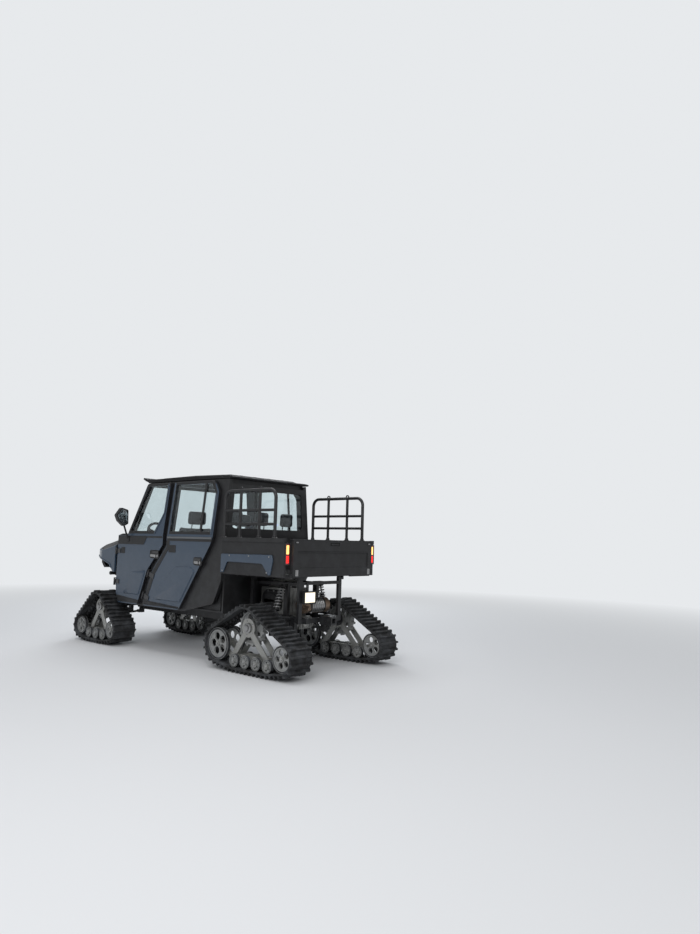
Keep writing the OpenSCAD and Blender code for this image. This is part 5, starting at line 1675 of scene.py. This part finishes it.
@dataclass
class Seats:
    """Two front seats and the three places of the rear bench."""

    def pads(self, width: float) -> dict[str, bpy.types.Mesh]:
        """The cushion, back and headrest of one seat width."""
        cushion = Pad("cushion", [(2, 2, 20), (448, 2, 40), (466, 108, 48), (62, 90, 16)], width,
                      [(Vector((0.17, 0, 0.096)), AHEAD), (Vector((0.3, 0, 0.1)), AHEAD)])
        along = Vector((0.2, 0, 0.98))
        back = Pad("back", [(-104, 96, 20), (46, 96, 24), (-70, 640, 40), (-148, 640, 40)], width - 24,
                   [(Vector((0.008, 0, 0.26)), along), (Vector((-0.03, 0, 0.42)), along)])
        rest = Pad("headrest", [(-166, 658, 24), (-82, 658, 24), (-92, 834, 36), (-172, 834, 36)], width / 2,
                   [], 0.012, 0.008)
        return {"cushion": cushion.blown(), "back": back.blown(), "headrest": rest.blown()}

    def build(self) -> None:
        """Places the padded pieces and their posts."""
        for node, x0, places, width in (("front_seat", 1590.0, (-365.0, 365.0), 520.0),
                                        ("rear_seat", 830.0, (-410.0, 0.0, 410.0), 400.0)):
            meshes = self.pads(width)
            for k, y in enumerate(places):
                for part, mesh in meshes.items():
                    obj = linked(f"{node}_{part}_{k + 1}", mesh)
                    obj.location = row(x0, y, SEAT_Z)
                    if not mesh.materials:
                        mesh.materials.append(FINISH["seat_vinyl"])
                    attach(obj, "chassis")
                    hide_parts(node)
                    LOG.info("piece %s", obj.name)
                posts = Shape()
                for off in (-width / 8, width / 8):
                    posts.tube([row(x0 - 110, y + off, 1480), row(x0 - 122, y + off, 1550)], 0.007, 10)
                piece(f"{node}_posts_{k + 1}", posts, "machined_steel", "chassis")


# Lamps


@dataclass
class Lamps:
    """Lit elements of the tail lamps and the work lamp, and the lit display."""

    work_face: float = -336.0

    def tail(self, side: Side) -> None:
        """Bezel and lit bars of one tail lamp."""
        bezel, upper, lower = Shape(), Shape(), Shape()
        y0, y1 = BOX_HALF - 66, BOX_HALF - 4
        z0, z1 = BOX_FLOOR + 130, BOX_FLOOR + 340
        x = BOX_REAR - 12
        upper.block((x - 2.5, y0 + 14, z0 + 104), (x + 2, y1 - 14, z1 - 16))
        lower.block((x - 2.5, y0 + 14, z0 + 14), (x + 2, y1 - 14, z0 + 88))
        for bar in (((x - 5, y0 - 6, z0 - 6), (x + 9, y0 + 2, z1 + 6)),
                    ((x - 5, y1 - 2, z0 - 6), (x + 9, y1 + 4, z1 + 6)),
                    ((x - 5, y0, z0 - 6), (x + 9, y1, z0 + 2)), ((x - 5, y0, z1 - 2), (x + 9, y1, z1 + 6))):
            bezel.block(*bar)
        for name, shape, finish, slot in (("tail_bezel", bezel, "black_plastic", "black_plastic"),
                                          ("tail_upper", upper, "tail_upper", "tail_red"),
                                          ("tail_lower", lower, "tail_red", "tail_red")):
            piece(f"{name}_{side.word}", shape, finish, "cargo_box", 0.002, side=side)

    def work(self) -> None:
        """Lens, bezel and cooling fins of the work lamp."""
        lens, fins = Shape(), Shape()
        x = self.work_face
        lens.block((x - 5, 145, 710), (x + 2, 299, 814))
        for z in range(706, 816, 12):
            fins.block((x + 28, 133, z), (x + 44, 311, z + 5))
        for y0, y1, z0, z1 in ((131, 145, 696, 828), (299, 313, 696, 828), (140, 304, 696, 710),
                               (140, 304, 814, 828)):
            fins.block((x - 8, y0, z0), (x + 12, y1, z1))
        piece("work_lamp_lens", lens, "work_light", "chassis", 0.002)
        piece("work_lamp_bezel", fins, "black_plastic", "chassis", 0.002)

    def dash(self) -> None:
        """Lit instrument display."""
        screen = Shape()
        screen.block((2255, 290, 1316), (2262, 510, 1382))
        piece("dash_display", screen, "dash_light", "chassis", 0.002)

    def build(self) -> None:
        """Makes all lamps."""
        for side in Side:
            self.tail(side)
        self.work()
        self.dash()


# Studio


@dataclass
class Studio:
    """Camera, floor and lights."""

    pale: Colour = (0.8, 0.82, 0.84)
    focal: float = 681.1
    picture: float = 934.0
    sensor: float = 36.0
    turn: Corner = (-49.77, 6.39, 1.41)
    stand: Corner = (-5.375, 5.571, 1.345)
    floor_r: float = 90.0
    fade: tuple[float, float] = (3.6, 13.0)
    aim: float = 0.9
    ambient: float = 0.46
    lamps: tuple[tuple[str, Corner, float, float, Colour], ...] = (
        ("key", (-5.5, 6.5, 5.5), 300, 4.5, (1, 1, 1)),
        ("top", (0.5, 0.0, 7.5), 240, 6.0, (1, 1, 1)),
        ("rim", (5.5, -5.5, 4.0), 200, 4.0, (0.9, 0.95, 1.0)))

    def camera(self) -> None:
        """The photograph's camera."""
        data = bpy.data.cameras.new("camera")
        data.lens = self.focal * self.sensor / self.picture
        data.sensor_width = self.sensor
        data.clip_end = 200
        cam = linked("camera", data)
        yaw, pitch, roll = (math.radians(a) for a in self.turn)
        ahead = Vector((math.cos(pitch) * math.cos(yaw), math.cos(pitch) * math.sin(yaw), math.sin(pitch)))
        right = Vector((math.sin(yaw), -math.cos(yaw), 0))
        up = right.cross(ahead)
        tilted = right * math.cos(roll) + up * math.sin(roll)
        above = up * math.cos(roll) - right * math.sin(roll)
        turned = Matrix((tilted, above, -ahead)).transposed().to_4x4()
        turned.translation = Vector(self.stand) - AHEAD * MID_X / 1000
        cam.matrix_world = turned
        bpy.context.scene.camera = cam

    def floor(self) -> None:
        """A pale floor that fades into the backdrop far away."""
        bpy.ops.mesh.primitive_circle_add(vertices=96, radius=self.floor_r, fill_type="NGON")
        floor = bpy.context.object
        floor.name = "floor"
        mat, g, shader = new_material("floor")
        g.fill(shader, {"Base Color": (0.74, 0.75, 0.77), "Roughness": 0.9})
        far = g.node("ShaderNodeVectorMath", {0: g.place()}, operation="LENGTH").outputs["Value"]
        glow = g.node("ShaderNodeEmission", {"Color": self.pale})
        fade = g.span(far, *self.fade)
        mix = g.node("ShaderNodeMixShader", {0: fade, 1: shader.outputs[0], 2: glow.outputs[0]})
        g.fill(mat.node_tree.nodes["Material Output"], {"Surface": mix.outputs[0]})
        floor.data.materials.append(mat)

    def world(self) -> None:
        """A soft even surround."""
        world = bpy.data.worlds.new("surround")
        world.use_nodes = True
        g = Graph(world.node_tree)
        path = g.node("ShaderNodeLightPath").outputs
        seen = g.math("MAXIMUM", path["Is Camera Ray"], path["Is Transmission Ray"])
        strength = g.span(seen, 0.0, 1.0, self.ambient, 1.0)
        g.fill(world.node_tree.nodes["Background"], {"Color": self.pale, "Strength": strength})
        bpy.context.scene.world = world

    def light(self, name: str, place: Vector, power: float, size: float, colour: Colour) -> None:
        """A large soft lamp that looks at the vehicle.

        Args:
            name: the lamp's name.
            place: where it stands.
            power: in watts.
            size: of its square face.
            colour: of its light.
        """
        data = bpy.data.lights.new(name, "AREA")
        data.energy = power
        data.size = size
        data.color = colour
        obj = linked(name, data)
        obj.location = place
        obj.rotation_euler = (UP * self.aim - place).to_track_quat("-Z", "Y").to_euler()
        obj.visible_transmission = False

    def build(self) -> None:
        """Makes the studio."""
        self.camera()
        self.floor()
        self.world()
        for name, place, power, size, colour in self.lamps:
            self.light(name, Vector(place), power, size, colour)
        bpy.context.scene.view_settings.view_transform = "Standard"


def main() -> None:
    """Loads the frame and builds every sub-assembly in order."""
    logging.basicConfig(level=logging.INFO, format="%(message)s")
    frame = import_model()
    Studio().build()
    EFFECTS.build()
    FINISH.build()
    CarriedNodes().dress(frame["nodes"])
    TrackUnits().build()
    for side in Side:
        DoorTrim(side).build()
    Springs().build()
    Machinery().build()
    Nose().build()
    BoxFittings().build()
    Interior().build()
    Seats().build()
    Lamps().build()


if __name__ == "__main__":
    main()
